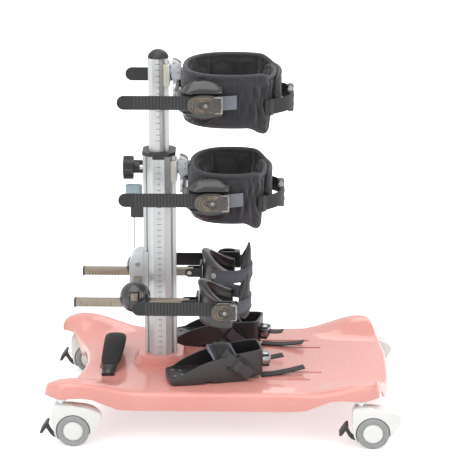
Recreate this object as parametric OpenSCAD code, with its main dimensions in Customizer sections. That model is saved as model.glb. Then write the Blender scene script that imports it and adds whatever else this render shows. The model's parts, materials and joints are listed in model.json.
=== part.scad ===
// Child's standing frame: a moulded deck on four braked castors, a two-stage
// column with a height scale, chest and hip supports on tilting brackets, two
// knee cups on sliding rods and two sandals clamped in the deck's slots.
// Millimetres. X runs to the rear, the child faces -X, -Y is the child's left.

/* [Castors] */
// Distance between the front and rear castor stems
wheel_base = 496; // [460:1:540]
// Distance between the left and right castor stems
wheel_track = 325; // [310:1:350]
// Diameter of each castor wheel
wheel_d = 54; // [50:1:56]
// Width of one wheel of a pair
wheel_w = 11; // [9:0.5:12]
// Distance of the wheel axle behind its stem
castor_trail = 20; // [17:0.5:22]
// Diameter of the castor stems
stem_d = 11; // [9:0.5:12]
// Reach of the hood's nose behind the stem
nose_reach = 67; // [64:1:70]
// Reach of the brake pedal ahead of the stem
pedal_reach = 36; // [34:1:39]

/* [Deck] */
// Height of the deck's flat top above the floor
deck_top = 88; // [84:1:96]
// Depth of the side skirt at the waist
deck_depth = 30; // [24:1:32]
// Wall of the deck moulding
deck_wall = 4; // [3:0.5:5]
// Width of the deck at its waist
waist_w = 320; // [300:1:330]
// Reach of the deck's raised corners outside the stems
corner_reach = 14.5; // [12:0.5:20]
// Rise of the raised corners above the flat top
horn_rise = 22; // [16:1:26]
// Depth of the bay in the front edge
bay_depth = 56; // [40:1:64]
// Overhang of the deck ahead of the front stems
front_overhang = 27; // [25:1:34]
// Overhang of the deck behind the rear stems
rear_overhang = 50; // [44:1:56]

/* [Column] */
// Distance of the column axis behind the front stems
column_setback = 157.5; // [150:0.5:166]
// Width of the lower column, rails included
lower_w = 54; // [53:0.5:58]
// Depth of the lower column across the frame
lower_d = 50; // [48:0.5:54]
// Height of the lower column's top
lower_top = 457; // [445:1:480]
// Width and depth of the upper column
upper_w = 33; // [31:0.5:33]
// Height of the upper column's top
upper_top = 620.5; // [616:0.5:660]
// Diameter of the clamp knob
knob_d = 40; // [34:1:46]

/* [Chest and hip supports] */
// Height of the chest support's straps
chest_z = 568; // [564:1:574]
// Height of the hip support's straps
hip_z = 404; // [398:1:410]
// Length of the chest pad, front to back
chest_pad_l = 169; // [156:1:174]
// Length of the hip pad, front to back
hip_pad_l = 144; // [136:1:150]
// Width of both pads
pad_w = 180; // [172:1:190]
// Height of the chest pad
chest_pad_h = 84; // [78:1:94]
// Height of the hip pad
hip_pad_h = 80; // [74:1:88]
// Thickness of the pads
pad_t = 13; // [10:0.5:15]
// Width of the toothed straps
ladder_w = 23; // [20:0.5:25]

/* [Knee supports] */
// Height of the knee cross bar
knee_z = 237; // [232:1:239]
// Distance between the two knee rods
knee_spread = 160; // [156:1:164]
// Width of the square rods and cross bar
rod_w = 12.5; // [11:0.5:13]
// Diameter of the ball clamps
ball_d = 52; // [50:1:54]
// Width of each knee cup
cup_w = 90; // [84:1:94]
// Height of each knee cup
cup_h = 72; // [66:1:76]

/* [Sandals] */
// Length of each sandal
sandal_l = 160; // [154:1:166]
// Width of each sandal
sandal_w = 64; // [58:1:66]
// Height of the heel cup
heel_h = 54; // [50:1:60]
// Distance between the two sandals
sandal_spread = 148; // [144:1:152]
// Angle that each sandal's toe points outward
sandal_splay = 12; // [6:1:14]

/* [Hidden] */
$fn = 48;

// Clearances and the overrun of every cut
overrun = 1;
run_gap = 0.05;
slide_gap = 0.3;
fit_gap = 0.1;
part_gap = 0.02;
// Half of a size, and the share that a corner cut takes from each side
half_share = 0.5;
corner_share = 0.25;
// A whole turn, in degrees
turn_angle = 360;

// Places along the frame
stem_front_x = -(wheel_base + nose_reach - pedal_reach) / 2;
stem_rear_x = stem_front_x + wheel_base;
column_x = stem_front_x + column_setback;
corner_w = wheel_track + 2 * corner_reach;

// Repeats and outlines
module both_sides() {
    children();
    mirror([0, 1, 0]) children();
}
module at_column(z = 0) {
    translate([column_x, 0, z]) children();
}
module side_of(left) {
    mirror([0, left ? 0 : 1, 0]) children();
}
// An XZ outline spread evenly about Y = 0
module across(w) {
    translate([0, w / 2, 0]) rotate([90, 0, 0]) linear_extrude(w) children();
}
// A slot outline along X, its length between the two centres
module slot_outline(l, d) {
    square([l, d], center = true);
    for (end = [-1, 1]) translate([end * l / 2, 0]) circle(d = d);
}
function octagon(w, d, c) = [
    for (s = [[1, 1], [-1, 1], [-1, -1], [1, -1]])
        each (s[0] == s[1]
            ? [[s[0] * w / 2, s[1] * (d / 2 - c)], [s[0] * (w / 2 - c), s[1] * d / 2]]
            : [[s[0] * (w / 2 - c), s[1] * d / 2], [s[0] * w / 2, s[1] * (d / 2 - c)]])
];
function arc(centre, r, from, to, steps) = [
    for (i = [0 : steps]) let (a = from + (to - from) * i / steps)
        centre + r * [cos(a), sin(a)]
];
function smooth(t) = let (c = max(0, min(1, t))) c * c * (3 - 2 * c);
function mix(a, b, t) = a + (b - a) * t;
// Rounds an outline by cutting its corners a few times
function cut_corners(p, times) = times == 0 ? p : cut_corners([
    for (i = [0 : len(p) - 1]) let (a = p[i], b = p[(i + 1) % len(p)])
        each [mix(a, b, corner_share), mix(b, a, corner_share)]
], times - 1);
function scaled(shares, l, h) = [for (p = shares) [p[0] * l, p[1] * h]];

// A closed band of equal rings, capped at both ends: each ring runs counter-clockwise
// when the band comes towards the eye
module ring_solid(rings) {
    n = len(rings[0]);
    last = len(rings) - 1;
    polyhedron(
        points = [for (ring = rings) each ring],
        faces = concat(
            [[for (j = [0 : n - 1]) j]],
            [[for (j = [n - 1 : -1 : 0]) last * n + j]],
            [for (i = [0 : last - 1]) for (j = [0 : n - 1]) let (k = (j + 1) % n)
                each [
                    [i * n + j, (i + 1) * n + j, (i + 1) * n + k],
                    [i * n + j, (i + 1) * n + k, i * n + k]
                ]]
        ),
        convexity = 6
    );
}

// Deck outline: u runs front to rear and v from the left edge to the right
deck_front_x = stem_front_x - front_overhang;
deck_rear_x = stem_rear_x + rear_overhang;
deck_round = 11;
rear_bow = 20;
corner_cut = 18;
corner_cut_l = 34;
lobe_l = 115;
lobe_shift = 15;
horn_inner_set = 64.5;
horn_outer_set = 12.5;
lip_inner_set = 67.5;
lip_outer_set = 32.5;
horn_inner_y = wheel_track / 2 - horn_inner_set;
horn_outer_y = wheel_track / 2 - horn_outer_set;
lip_inner_y = wheel_track / 2 - lip_inner_set;
lip_outer_y = wheel_track / 2 - lip_outer_set;
lip_near = 35;
lip_far = 105;
lip_rise = deck_depth - deck_wall;
deck_rows = 30;
deck_columns = 20;
edge_steps = 4;

function stem_off(x) = min(abs(x - stem_front_x), abs(x - stem_rear_x));
function lobe(x) = 1 - smooth(min(abs(x - stem_front_x - lobe_shift),
    abs(x - stem_rear_x - lobe_shift)) / lobe_l);
function deck_half_w(x) = mix(waist_w, corner_w, 1 - smooth(stem_off(x) / lobe_l)) / 2
    - corner_cut * pow(max(0, 1 - (x - deck_front_x) / corner_cut_l), 2)
    - corner_cut * pow(max(0, 1 - (deck_rear_x - rear_bow - x) / corner_cut_l), 2);
function deck_start(v) = deck_front_x + bay_depth * (1 - v * v);
function deck_end(v) = deck_rear_x - rear_bow * pow(v, 4);
function deck_top_z(x, y) = deck_top
    + horn_rise * lobe(x) * smooth((abs(y) - horn_inner_y) / (horn_outer_y - horn_inner_y));
function deck_rim_z(x, y) = deck_top - deck_depth + lip_rise
    * (1 - smooth((stem_off(x) - lip_near) / (lip_far - lip_near)))
    * smooth((abs(y) - lip_inner_y) / (lip_outer_y - lip_inner_y));

// Stations across one direction: place from -1 to 1, inset from the edge, drop, rim flag
function stations(count, r) = let (
    edge = [for (i = [0 : edge_steps]) let (a = 90 * i / edge_steps)
        [-1, r * (1 - cos(a)), r * (1 - sin(a))]],
    inner = [for (i = [1 : count - 1]) [-cos(180 * i / count), 0, 0]],
    front = concat([[-1, 0, -1]], edge)
) concat(front, inner, [for (i = [len(front) - 1 : -1 : 0]) [1, front[i][1], front[i][2]]]);

function deck_point(su, sv, wall) = let (
    u = (su[0] + 1) / 2,
    guess_v = sv[0],
    x0 = deck_start(guess_v) + wall,
    x1 = deck_end(guess_v) - wall,
    x = su[0] <= -1 ? x0 + su[1] : su[0] >= 1 ? x1 - su[1]
        : mix(x0 + deck_round - wall, x1 - deck_round + wall, u),
    w = deck_half_w(x) - wall,
    inner_w = w - deck_round + wall,
    y = sv[0] <= -1 ? -w + sv[1] : sv[0] >= 1 ? w - sv[1] : sv[0] * inner_w,
    rim = su[2] < 0 || sv[2] < 0,
    z = rim ? deck_rim_z(x, y) : deck_top_z(x, y) - wall - su[2] - sv[2]
) [x, y, z];

function deck_grid(wall) = [
    for (su = stations(deck_rows, deck_round - wall))
        for (sv = stations(deck_columns, deck_round - wall))
            deck_point(su, sv, wall)
];

module deck_shell() {
    rows = len(stations(deck_rows, deck_round));
    columns = len(stations(deck_columns, deck_round));
    size = rows * columns;
    edge = concat(
        [for (j = [0 : columns - 2]) j],
        [for (i = [0 : rows - 2]) i * columns + columns - 1],
        [for (j = [columns - 1 : -1 : 1]) (rows - 1) * columns + j],
        [for (i = [rows - 1 : -1 : 1]) i * columns]
    );
    polyhedron(
        points = concat(deck_grid(0), deck_grid(deck_wall)),
        faces = concat(
            [for (i = [0 : rows - 2]) for (j = [0 : columns - 2]) let (a = i * columns + j, b = a + columns)
                each [[a, a + 1, b + 1], [a, b + 1, b]]],
            [for (i = [0 : rows - 2]) for (j = [0 : columns - 2])
                let (a = size + i * columns + j, b = a + columns)
                each [[a, b + 1, a + 1], [a, b, b + 1]]],
            [for (k = [0 : len(edge) - 1]) let (a = edge[k], b = edge[(k + 1) % len(edge)])
                each [[a, size + a, size + b], [a, size + b, b]]]
        ),
        convexity = 8
    );
}

// Lower column section: a cut-cornered body with a T rail front and rear
rail_neck = 2.5;
rail_head = 5;
rail_neck_w = 14;
rail_head_w = 24;
column_corner = 10;
upper_corner = 7;
bore_corner = 4;
bore_gap = 0.9;
scale_panel_w = 20;
scale_panel_t = 0.4;
foot_plate_t = 5;
lower_body_w = lower_w - 2 * (rail_neck + rail_head);
column_bottom = deck_top - deck_depth + foot_plate_t + 2 * deck_wall;

module rail(x) {
    translate([x, -rail_neck_w / 2]) square([rail_neck, rail_neck_w]);
    translate([x + rail_neck, -rail_head_w / 2]) square([rail_head, rail_head_w]);
}
module column_bore(gap) {
    polygon(octagon(upper_w + 2 * gap, upper_w + 2 * gap, bore_corner));
}
module lower_section() {
    difference() {
        union() {
            polygon(octagon(lower_body_w, lower_d, column_corner));
            for (turn = [0, 180]) rotate(turn) rail(lower_body_w / 2);
        }
        for (side = [-1, 1])
            translate([0, side * lower_d / 2]) square([scale_panel_w, 2 * scale_panel_t], center = true);
    }
}

// Knob, tool and collar values
knob_z = 431.5;
knob_t = 17;
knob_lobes = 7;
knob_lobe_d = 11;
knob_gap = 16;
knob_neck_d = 18;
knob_neck_l = 10;
stud_d = 8;
collar_h = 6;
collar_lip = 1.5;
collar_skirt = 5;
collar_sleeve = 16;
tool_x = -43.5;
tool_top = 377;
tool_h = 31;
tool_w = 22;
tool_d = 20;
tool_mouth = 13;
key_d = 4;
key_reach = 57;
key_grip_l = 28;
key_grip_d = 13;
key_grip_h = 24;

module base_deck() {
    color("lightpink") difference() {
        union() {
            deck_shell();
            castor_places() socket_boss();
            at_column(deck_top - deck_wall / 2) column_boss();
            at_column() foot_bosses();
            at_column() handle_pocket_wall();
        }
        castor_places() socket_bore();
        at_column(deck_top - deck_depth) linear_extrude(deck_depth + boss_h + overrun) foot_hole();
        at_column() foot_bolts(run_gap, overrun);
        at_column() handle_pocket();
        at_column() handle_screws(run_gap);
        at_column() both_sides() sandal_slots();
    }
}

// Castor places: x, side and the stem's seat
socket_d = 22;
socket_drop = 2;
socket_seat = deck_top - deck_wall - socket_drop;
socket_reach_share = 0.78;
stem_flange_d = 20;
stem_flange_t = 4;
stem_lead = 2.5;
stem_tip = wheel_d + stem_lead;
hood_gap = 5;
hood_top = socket_seat - stem_flange_t - hood_gap;

module castor_places() {
    for (x = [stem_front_x, stem_rear_x])
        for (side = [-1, 1])
            translate([x, side * wheel_track / 2, 0]) children();
}
module socket_boss() {
    translate([0, 0, socket_seat])
        cylinder(d = socket_d, h = deck_top + horn_rise * socket_reach_share - socket_seat);
}
module socket_bore() {
    translate([0, 0, socket_seat - overrun])
        cylinder(d = stem_d + 2 * run_gap, h = deck_wall + horn_rise * half_share + overrun);
}
module castor_stems() {
    color("silver") castor_places() {
        translate([0, 0, stem_tip])
            cylinder(d = stem_d, h = socket_seat + deck_wall + horn_rise * half_share - overrun - stem_tip);
        translate([0, 0, socket_seat - stem_flange_t]) cylinder(d = stem_flange_d, h = stem_flange_t);
    }
}

// Column seat: a raised boss, a steel plate under the deck and four bolts
boss_h = 18;
boss_l = 96;
boss_w = 66;
boss_draft_l = 20;
boss_draft_w = 5;
foot_plate_l = 110;
foot_plate_w = 62;
foot_bolt_d = 6;
foot_bolt_l = 12;
foot_bolt_head_d = 11;
foot_bolt_head_h = 4;
foot_boss_d = 14;
foot_bolt_l_share = 0.36;
foot_bolt_w_share = 0.32;

module column_boss() {
    low = octagon(boss_l, boss_w, column_corner);
    high = octagon(boss_l - boss_draft_l, boss_w - boss_draft_w, column_corner);
    ring_solid([
        [for (p = low) [p[0], p[1], 0]],
        [for (p = high) [p[0], p[1], boss_h]]
    ]);
}
module foot_hole() {
    polygon(octagon(lower_body_w + 2 * slide_gap, lower_d + 2 * slide_gap, column_corner));
    for (turn = [0, 180])
        rotate(turn) translate([0, -rail_head_w / 2 - slide_gap])
            square([lower_w / 2 + slide_gap, rail_head_w + 2 * slide_gap]);
}
module foot_bolt_places() {
    for (x = [-1, 1])
        for (y = [-1, 1])
            translate([x * foot_plate_l * foot_bolt_l_share, y * foot_plate_w * foot_bolt_w_share, 0])
                children();
}
module foot_bosses() {
    foot_bolt_places() translate([0, 0, column_bottom])
        cylinder(d = foot_boss_d, h = deck_top - deck_wall * half_share - column_bottom);
}
module foot_bolts(gap, extra) {
    foot_bolt_places() translate([0, 0, column_bottom - foot_plate_t - extra])
        cylinder(d = foot_bolt_d + 2 * gap, h = foot_bolt_l + 2 * extra);
}
module column_foot() {
    color("dimgray") at_column() {
        difference() {
            translate([0, 0, column_bottom - foot_plate_t]) linear_extrude(foot_plate_t)
                square([foot_plate_l, foot_plate_w], center = true);
            foot_bolts(run_gap, overrun);
        }
        foot_bolts(0, part_gap);
        foot_bolt_places() translate([0, 0, column_bottom - foot_plate_t - part_gap - foot_bolt_head_h])
            cylinder(d = foot_bolt_head_d, h = foot_bolt_head_h, $fn = 6);
    }
}
module lower_column() {
    color("silver") at_column() difference() {
        translate([0, 0, column_bottom]) linear_extrude(lower_top - column_bottom) difference() {
            lower_section();
            column_bore(bore_gap);
        }
        translate([0, 0, knob_z]) rotate([0, -90, 0]) cylinder(d = stud_d + 2 * run_gap, h = lower_w);
    }
}
module column_collar() {
    color("#262626") at_column() difference() {
        union() {
            translate([0, 0, lower_top]) linear_extrude(collar_h)
                polygon(octagon(lower_w + collar_lip, lower_d + 2 * collar_lip, column_corner));
            for (side = [-1, 1])
                translate([0, side * (lower_d + collar_lip) / 2, lower_top - collar_skirt])
                    linear_extrude(collar_skirt)
                        square([scale_panel_w, collar_lip], center = true);
            translate([0, 0, lower_top - collar_sleeve]) linear_extrude(collar_sleeve)
                column_bore(bore_gap - fit_gap);
        }
        translate([0, 0, lower_top - collar_sleeve - overrun])
            linear_extrude(collar_sleeve + collar_h + 2 * overrun) column_bore(slide_gap);
    }
}

// Upper column: the same cut-cornered body with one rail at the rear
upper_bottom = 262;
bush_h = 40;
upper_core_share = 0.5;
cap_h = 13.5;
cap_lip = 0.8;
cap_plug_h = 12;
cap_ball_share = 0.575;

module upper_section() {
    body_l = upper_w - rail_neck - rail_head;
    difference() {
        union() {
            translate([-(rail_neck + rail_head) / 2, 0]) polygon(octagon(body_l, upper_w, upper_corner));
            rail(upper_w / 2 - rail_neck - rail_head);
        }
        square(upper_w * upper_core_share, center = true);
    }
}
module upper_column() {
    at_column() {
        color("gainsboro") translate([0, 0, upper_bottom]) linear_extrude(upper_top - upper_bottom)
            upper_section();
        color("#262626") translate([0, 0, upper_bottom - bush_h]) linear_extrude(bush_h - part_gap)
            column_bore(bore_gap - slide_gap);
    }
}
module column_cap() {
    ball_r = upper_w * cap_ball_share;
    color("#262626") at_column() {
        intersection() {
            translate([0, 0, upper_top]) linear_extrude(cap_h)
                polygon(octagon(upper_w + 2 * cap_lip, upper_w + 2 * cap_lip, upper_corner));
            translate([0, 0, upper_top + cap_h - ball_r]) sphere(r = ball_r);
        }
        translate([0, 0, upper_top - cap_plug_h]) linear_extrude(cap_plug_h)
            square(upper_w * upper_core_share - 2 * fit_gap, center = true);
    }
}
module clamp_knob() {
    knob_x = -lower_w / 2 - knob_gap;
    at_column(knob_z) rotate([0, -90, 0]) {
        color("#262626") {
            translate([0, 0, -knob_x]) {
                cylinder(d = knob_d - knob_lobe_d * half_share, h = knob_t);
                for (i = [0 : knob_lobes - 1])
                    rotate(turn_angle * i / knob_lobes) translate([(knob_d - knob_lobe_d) / 2, 0, 0])
                        cylinder(d = knob_lobe_d, h = knob_t);
            }
            translate([0, 0, -knob_x - knob_neck_l]) cylinder(d = knob_neck_d, h = knob_neck_l);
        }
        color("silver") translate([0, 0, upper_w / 2 + slide_gap])
            cylinder(d = stud_d, h = -knob_x - knob_neck_l - upper_w / 2 - slide_gap - part_gap);
    }
}
module tool_holder() {
    seat_d = key_d + 2 * fit_gap;
    color("#262626") at_column(tool_top - tool_h) difference() {
        linear_extrude(tool_h) polygon([
            [-lower_w / 2, -tool_d / 2],
            [-lower_w / 2, tool_d / 2],
            [tool_x, tool_d / 2],
            [-lower_w / 2 - tool_w, tool_mouth / 2],
            [-lower_w / 2 - tool_w, -tool_mouth / 2],
            [tool_x, -tool_d / 2]
        ]);
        translate([tool_x, 0, -overrun]) cylinder(d = seat_d, h = tool_h + 2 * overrun);
        translate([-lower_w / 2 - tool_w - overrun, -seat_d / 2, -overrun])
            cube([tool_w + lower_w / 2 + tool_x + overrun, seat_d, tool_h + 2 * overrun]);
    }
}
module hex_key() {
    at_column(tool_top) translate([tool_x, 0, 0]) {
        color("lightsteelblue") translate([0, 0, slide_gap]) linear_extrude(key_grip_h)
            slot_outline(key_grip_l - key_grip_d, key_grip_d);
        color("silver") translate([0, 0, -tool_h - key_reach])
            cylinder(d = key_d, h = tool_h + key_reach + slide_gap - part_gap, $fn = 6);
    }
}

// Carry handle: a tapered grip bowed over a finger pocket, screwed down at both feet
handle_x = -86;
handle_w = 34;
handle_neck_w = 22;
handle_t = 12;
handle_rise = 27;
handle_foot_l = 16;
handle_margin = 16;
handle_l = 2 * (horn_inner_y - handle_foot_l - handle_margin);
handle_foot_t = 5;
handle_edge_share = 0.34;
handle_step_share = 0.01;
handle_screw_d = 5;
handle_head_d = 9;
handle_head_h = 2;
handle_lean = 14;
handle_power = 2.2;
handle_steps = 26;
pocket_depth = 14;
pocket_w = 34;
pocket_l_share = 0.6;

// How far the grip has risen at a share of the whole length, from 0 to 1
function handle_lift(s) = let (
    y = abs(2 * s - 1) * (handle_l / 2 + handle_foot_l),
    t = min(1, 2 * y / handle_l)
) 1 - pow(t, handle_power);
function handle_ring(s) = let (
    up = handle_lift(s),
    ahead = handle_rise * (handle_lift(s + handle_step_share) - handle_lift(s - handle_step_share)),
    run = 2 * handle_step_share * (handle_l + 2 * handle_foot_l),
    slope = atan2(ahead, run),
    w = mix(handle_neck_w, handle_w, up),
    t = mix(handle_foot_t, handle_t, up),
    x = handle_x + handle_rise * up * tan(handle_lean),
    y = (s - half_share) * (handle_l + 2 * handle_foot_l),
    z = handle_rise * up + t / 2
) [for (p = octagon(w, t, t * handle_edge_share)) [x + p[0], y - p[1] * sin(slope), z + p[1] * cos(slope)]];

module handle_screws(gap) {
    both_sides() translate([handle_x, (handle_l + handle_foot_l) / 2, deck_top - deck_wall - overrun])
        cylinder(d = handle_screw_d + 2 * gap, h = deck_wall + overrun + handle_foot_t + 2 * part_gap);
}
module carry_handle() {
    color("#262626") at_column() difference() {
        translate([0, 0, deck_top + part_gap])
            ring_solid([for (i = [handle_steps : -1 : 0]) handle_ring(i / handle_steps)]);
        handle_screws(run_gap);
    }
    color("silver") at_column() {
        handle_screws(0);
        both_sides() translate([handle_x, (handle_l + handle_foot_l) / 2, deck_top])
            translate([0, 0, handle_foot_t + 2 * part_gap]) cylinder(d = handle_head_d, h = handle_head_h);
    }
}
module handle_pocket() {
    translate([handle_x, 0, deck_top - pocket_depth]) rotate(90)
        linear_extrude(pocket_depth + overrun) slot_outline(handle_l * pocket_l_share, pocket_w);
}
module handle_pocket_wall() {
    translate([handle_x, 0, deck_top - pocket_depth - deck_wall]) rotate(90)
        linear_extrude(pocket_depth + deck_wall * half_share)
            slot_outline(handle_l * pocket_l_share, pocket_w + 2 * deck_wall);
}

// Castor hood, wheels and pedal, about the stem's axis
web_w = 9;
wheel_gap = 10;
wheel_clear = 1.5;
hood_w = 29;
axle_d = 6;
hub_d = 34;
hub_proud = 0.3;
tyre_edge = 2.5;
pedal_pivot_x = 2;
pedal_pivot_z = 17;
pedal_pin_d = 4;
pedal_eye_d = 8.4;
pedal_arm_w = 6;
pedal_tread_w = 20;
pedal_h = 41.5;
slot_front = 20;
slot_rear = 8.5;
slot_low = 5;
slot_high = 25;
// Outlines as shares of the nose's reach and of the hood's height
hood_side_shares = [
    [-0.2, 1], [0.2, 1], [0.32, 0.96], [0.66, 0.92], [0.94, 0.79], [1.02, 0.66], [0.96, 0.55],
    [0.76, 0.31], [0.58, 0.15], [0, 0.13], [-0.13, 0.19], [-0.21, 0.42], [-0.225, 0.68]
];
hood_front_shares = [
    [-0.34, 1], [0.34, 1], [0.46, 0.84], [0.5, 0.6], [0.5, 0], [-0.5, 0], [-0.5, 0.6], [-0.46, 0.84]
];
hood_plan_shares = [
    [-0.26, -0.38], [-0.1, -0.5], [0.66, -0.5], [0.95, -0.3], [1.03, -0.12], [1.03, 0.12],
    [0.95, 0.3], [0.66, 0.5], [-0.1, 0.5], [-0.26, 0.38]
];
// Outlines as shares of the pedal's reach and height
pedal_arm_shares = [
    [0.06, 0.3], [-0.2, 0.24], [-0.42, 0.31], [-0.57, 0.46], [-0.68, 0.64], [-0.8, 0.7],
    [-0.7, 0.86], [-0.6, 0.84], [-0.5, 0.62], [-0.36, 0.47], [-0.17, 0.42], [0.06, 0.52]
];
pedal_tread_shares = [
    [-0.88, 0.5], [-0.98, 0.5], [-1, 0.58], [-0.68, 1], [-0.58, 0.98], [-0.56, 0.9]
];

module wheel_axis() {
    translate([castor_trail, 0, wheel_d / 2]) rotate([90, 0, 0]) children();
}
module pedal_axis() {
    translate([pedal_pivot_x, 0, pedal_pivot_z]) rotate([90, 0, 0]) children();
}
module castor_hood() {
    color("white") {
        difference() {
            intersection() {
                across(hood_w + overrun)
                    polygon(cut_corners(scaled(hood_side_shares, nose_reach, hood_top), 2));
                linear_extrude(hood_top + overrun)
                    polygon(cut_corners(scaled(hood_plan_shares, nose_reach, hood_w), 2));
                translate([-pedal_reach, 0, 0]) rotate([90, 0, 90])
                    linear_extrude(pedal_reach + 2 * nose_reach)
                        polygon(cut_corners(scaled(hood_front_shares, hood_w, hood_top), 2));
            }
            for (turn = [0, 180])
                wheel_axis() rotate([turn, 0, 0]) translate([0, 0, web_w / 2])
                    cylinder(d = wheel_d + 2 * wheel_clear, h = hood_w);
            wheel_axis() cylinder(d = axle_d + 2 * run_gap, h = hood_w, center = true);
            translate([0, 0, stem_tip - slide_gap])
                cylinder(d = stem_d + 2 * run_gap, h = hood_top - stem_tip + slide_gap + overrun);
            translate([-slot_front, -pedal_arm_w / 2 - slide_gap / 2, slot_low])
                cube([slot_front + slot_rear, pedal_arm_w + slide_gap, slot_high - slot_low]);
        }
        pedal_axis() cylinder(d = pedal_pin_d, h = web_w, center = true);
    }
}
module castor_wheels() {
    wheel_axis() {
        for (turn = [0, 180]) rotate([turn, 0, 0]) {
            color("gray") translate([0, 0, wheel_gap / 2 + wheel_w / 2]) rotate_extrude()
                translate([(wheel_d + hub_d) / 4, 0])
                    polygon(octagon((wheel_d - hub_d) / 2 - part_gap, wheel_w, tyre_edge));
            color("white") translate([0, 0, wheel_gap / 2]) {
                cylinder(d = hub_d - 2 * part_gap, h = wheel_w - tyre_edge);
                translate([0, 0, wheel_w - tyre_edge]) cylinder(
                    d1 = hub_d - 2 * part_gap,
                    d2 = hub_d - 2 * tyre_edge,
                    h = tyre_edge + hub_proud
                );
            }
        }
        color("silver") cylinder(d = axle_d, h = wheel_gap - 2 * part_gap, center = true);
    }
}
module brake_pedal() {
    color("dimgray") difference() {
        union() {
            across(pedal_arm_w) polygon(cut_corners(scaled(pedal_arm_shares, pedal_reach, pedal_h), 1));
            across(pedal_tread_w) polygon(cut_corners(scaled(pedal_tread_shares, pedal_reach, pedal_h), 2));
            pedal_axis() cylinder(d = pedal_eye_d, h = pedal_arm_w, center = true);
        }
        pedal_axis() cylinder(d = pedal_pin_d + 2 * run_gap, h = pedal_arm_w + overrun, center = true);
    }
}
module castor_at(front, left) {
    translate([front ? stem_front_x : stem_rear_x, (left ? -1 : 1) * wheel_track / 2, 0]) children();
}

// Chest and hip supports share one design: rail face, strap height, pad length and height
chest = [upper_w / 2, chest_z, chest_pad_l, chest_pad_h];
hip = [lower_w / 2, hip_z, hip_pad_l, hip_pad_h];
function face_x(s) = s[0];
function strap_z(s) = s[1];
function pad_l(s) = s[2];
function pad_h(s) = s[3];

// Bracket: a rail slider with a lug, and a tilting quadrant over the lug
pivot_rise = 33;
pivot_x = 7;
pivot_d = 6;
pivot_head_d = 7.4;
pivot_head_t = 1.5;
slider_back = 3;
slider_cheek = 3.2;
slider_low = 26;
slider_high = 10;
lug_r = 8;
lug_w = 13;
cheek_t = 3.2;
sector_r = 17;
sector_low = 16;
sector_front = 3.6;
sector_top_front = 7.6;
sector_low_front = 6.4;
sector_rear = 21;
rim_t = 1.2;
rim_w = 3;
index_d = 2.6;
index_r = 11;
index_angles = [75, 25, -25];
saddle_front = 8;
arm_front = 14;
saddle_w = 44;
saddle_h = 26;
neck_w = 16;
// Arms: a bowed plate with a leaf outline, domed above and below the strap
arm_t = 5;
arm_bend = 32;
arm_gap = 0.3;
arm_reach = 80;
arm_h = 68;
arm_neck_share = 0.38;
arm_peak_power = 0.85;
arm_steps = 18;
lobe_low = 17;
lobe_lap = 2;
lobe_out = 7;
lobe_fade = 10;
lobe_edge_t = 1.5;
lobe_power = 1.7;
lobe_rows = 4;
lobe_steps = 14;
lobe_from_share = 0.15;
lobe_to_share = 0.78;
side_y = pad_w / 2 + arm_gap + arm_t;

module at_support(s) {
    at_column() translate([face_x(s), 0, strap_z(s)]) children();
}
module at_pivot(s) {
    at_support(s) translate([pivot_x, 0, pivot_rise]) children();
}
module slider_section() {
    rail_h = rail_neck + rail_head;
    outer_w = rail_head_w + 2 * (slide_gap + slider_cheek);
    difference() {
        translate([slide_gap - rail_h, -outer_w / 2]) square([rail_h - slide_gap + slider_back, outer_w]);
        translate([-rail_head - slide_gap, -rail_head_w / 2 - slide_gap])
            square([rail_head + 2 * slide_gap, rail_head_w + 2 * slide_gap]);
        translate([-rail_h - overrun, -rail_neck_w / 2 - slide_gap])
            square([rail_h, rail_neck_w + 2 * slide_gap]);
    }
}
module support_slider(s) {
    color("wheat") difference() {
        union() {
            at_support(s) translate([0, 0, pivot_rise - slider_low]) linear_extrude(slider_low + slider_high)
                slider_section();
            at_pivot(s) across(lug_w) {
                circle(r = lug_r);
                translate([-pivot_x + slide_gap, -lug_r]) square([pivot_x - slide_gap, 2 * lug_r]);
            }
        }
        at_support(s) translate([-rail_head - slide_gap, -rail_head_w / 2 - slide_gap, 0])
            linear_extrude(pivot_rise + slider_high + overrun)
                square([rail_head + 2 * slide_gap, rail_head_w + 2 * slide_gap]);
        at_pivot(s) rotate([90, 0, 0])
            cylinder(d = pivot_d + 2 * run_gap, h = lug_w + overrun, center = true);
    }
}
// The quadrant's outline about its pivot
function sector_points() = concat(
    [[sector_low_front - pivot_x, -sector_low], [sector_rear - pivot_x, -sector_low]],
    arc([0, 0], sector_r, acos((sector_rear - pivot_x) / sector_r),
        acos((sector_top_front - pivot_x) / sector_r), arm_steps),
    [[sector_front - pivot_x, 0]]
);
module quadrant_cheek() {
    inner_y = lug_w / 2 + slide_gap;
    difference() {
        union() {
            translate([0, -inner_y, 0]) rotate([90, 0, 0]) linear_extrude(cheek_t) polygon(sector_points());
            translate([0, -inner_y - cheek_t, 0]) rotate([90, 0, 0]) linear_extrude(rim_t) difference() {
                polygon(sector_points());
                circle(r = sector_r - rim_w);
                translate([-sector_r, -2 * sector_r]) square([2 * sector_r, 2 * sector_r]);
            }
        }
        for (a = index_angles)
            rotate([0, -a, 0]) translate([index_r, 0, 0]) rotate([90, 0, 0])
                cylinder(d = index_d, h = inner_y + cheek_t + rim_t + overrun);
    }
}
module support_quadrant(s) {
    w = lug_w + 2 * (slide_gap + cheek_t);
    color("silver") at_pivot(s) {
        both_sides() {
            quadrant_cheek();
            translate([0, -w / 2, 0]) rotate([90, 0, 0]) cylinder(d = pivot_head_d, h = pivot_head_t);
        }
        rotate([90, 0, 0]) cylinder(d = pivot_d, h = w, center = true);
    }
}
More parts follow.
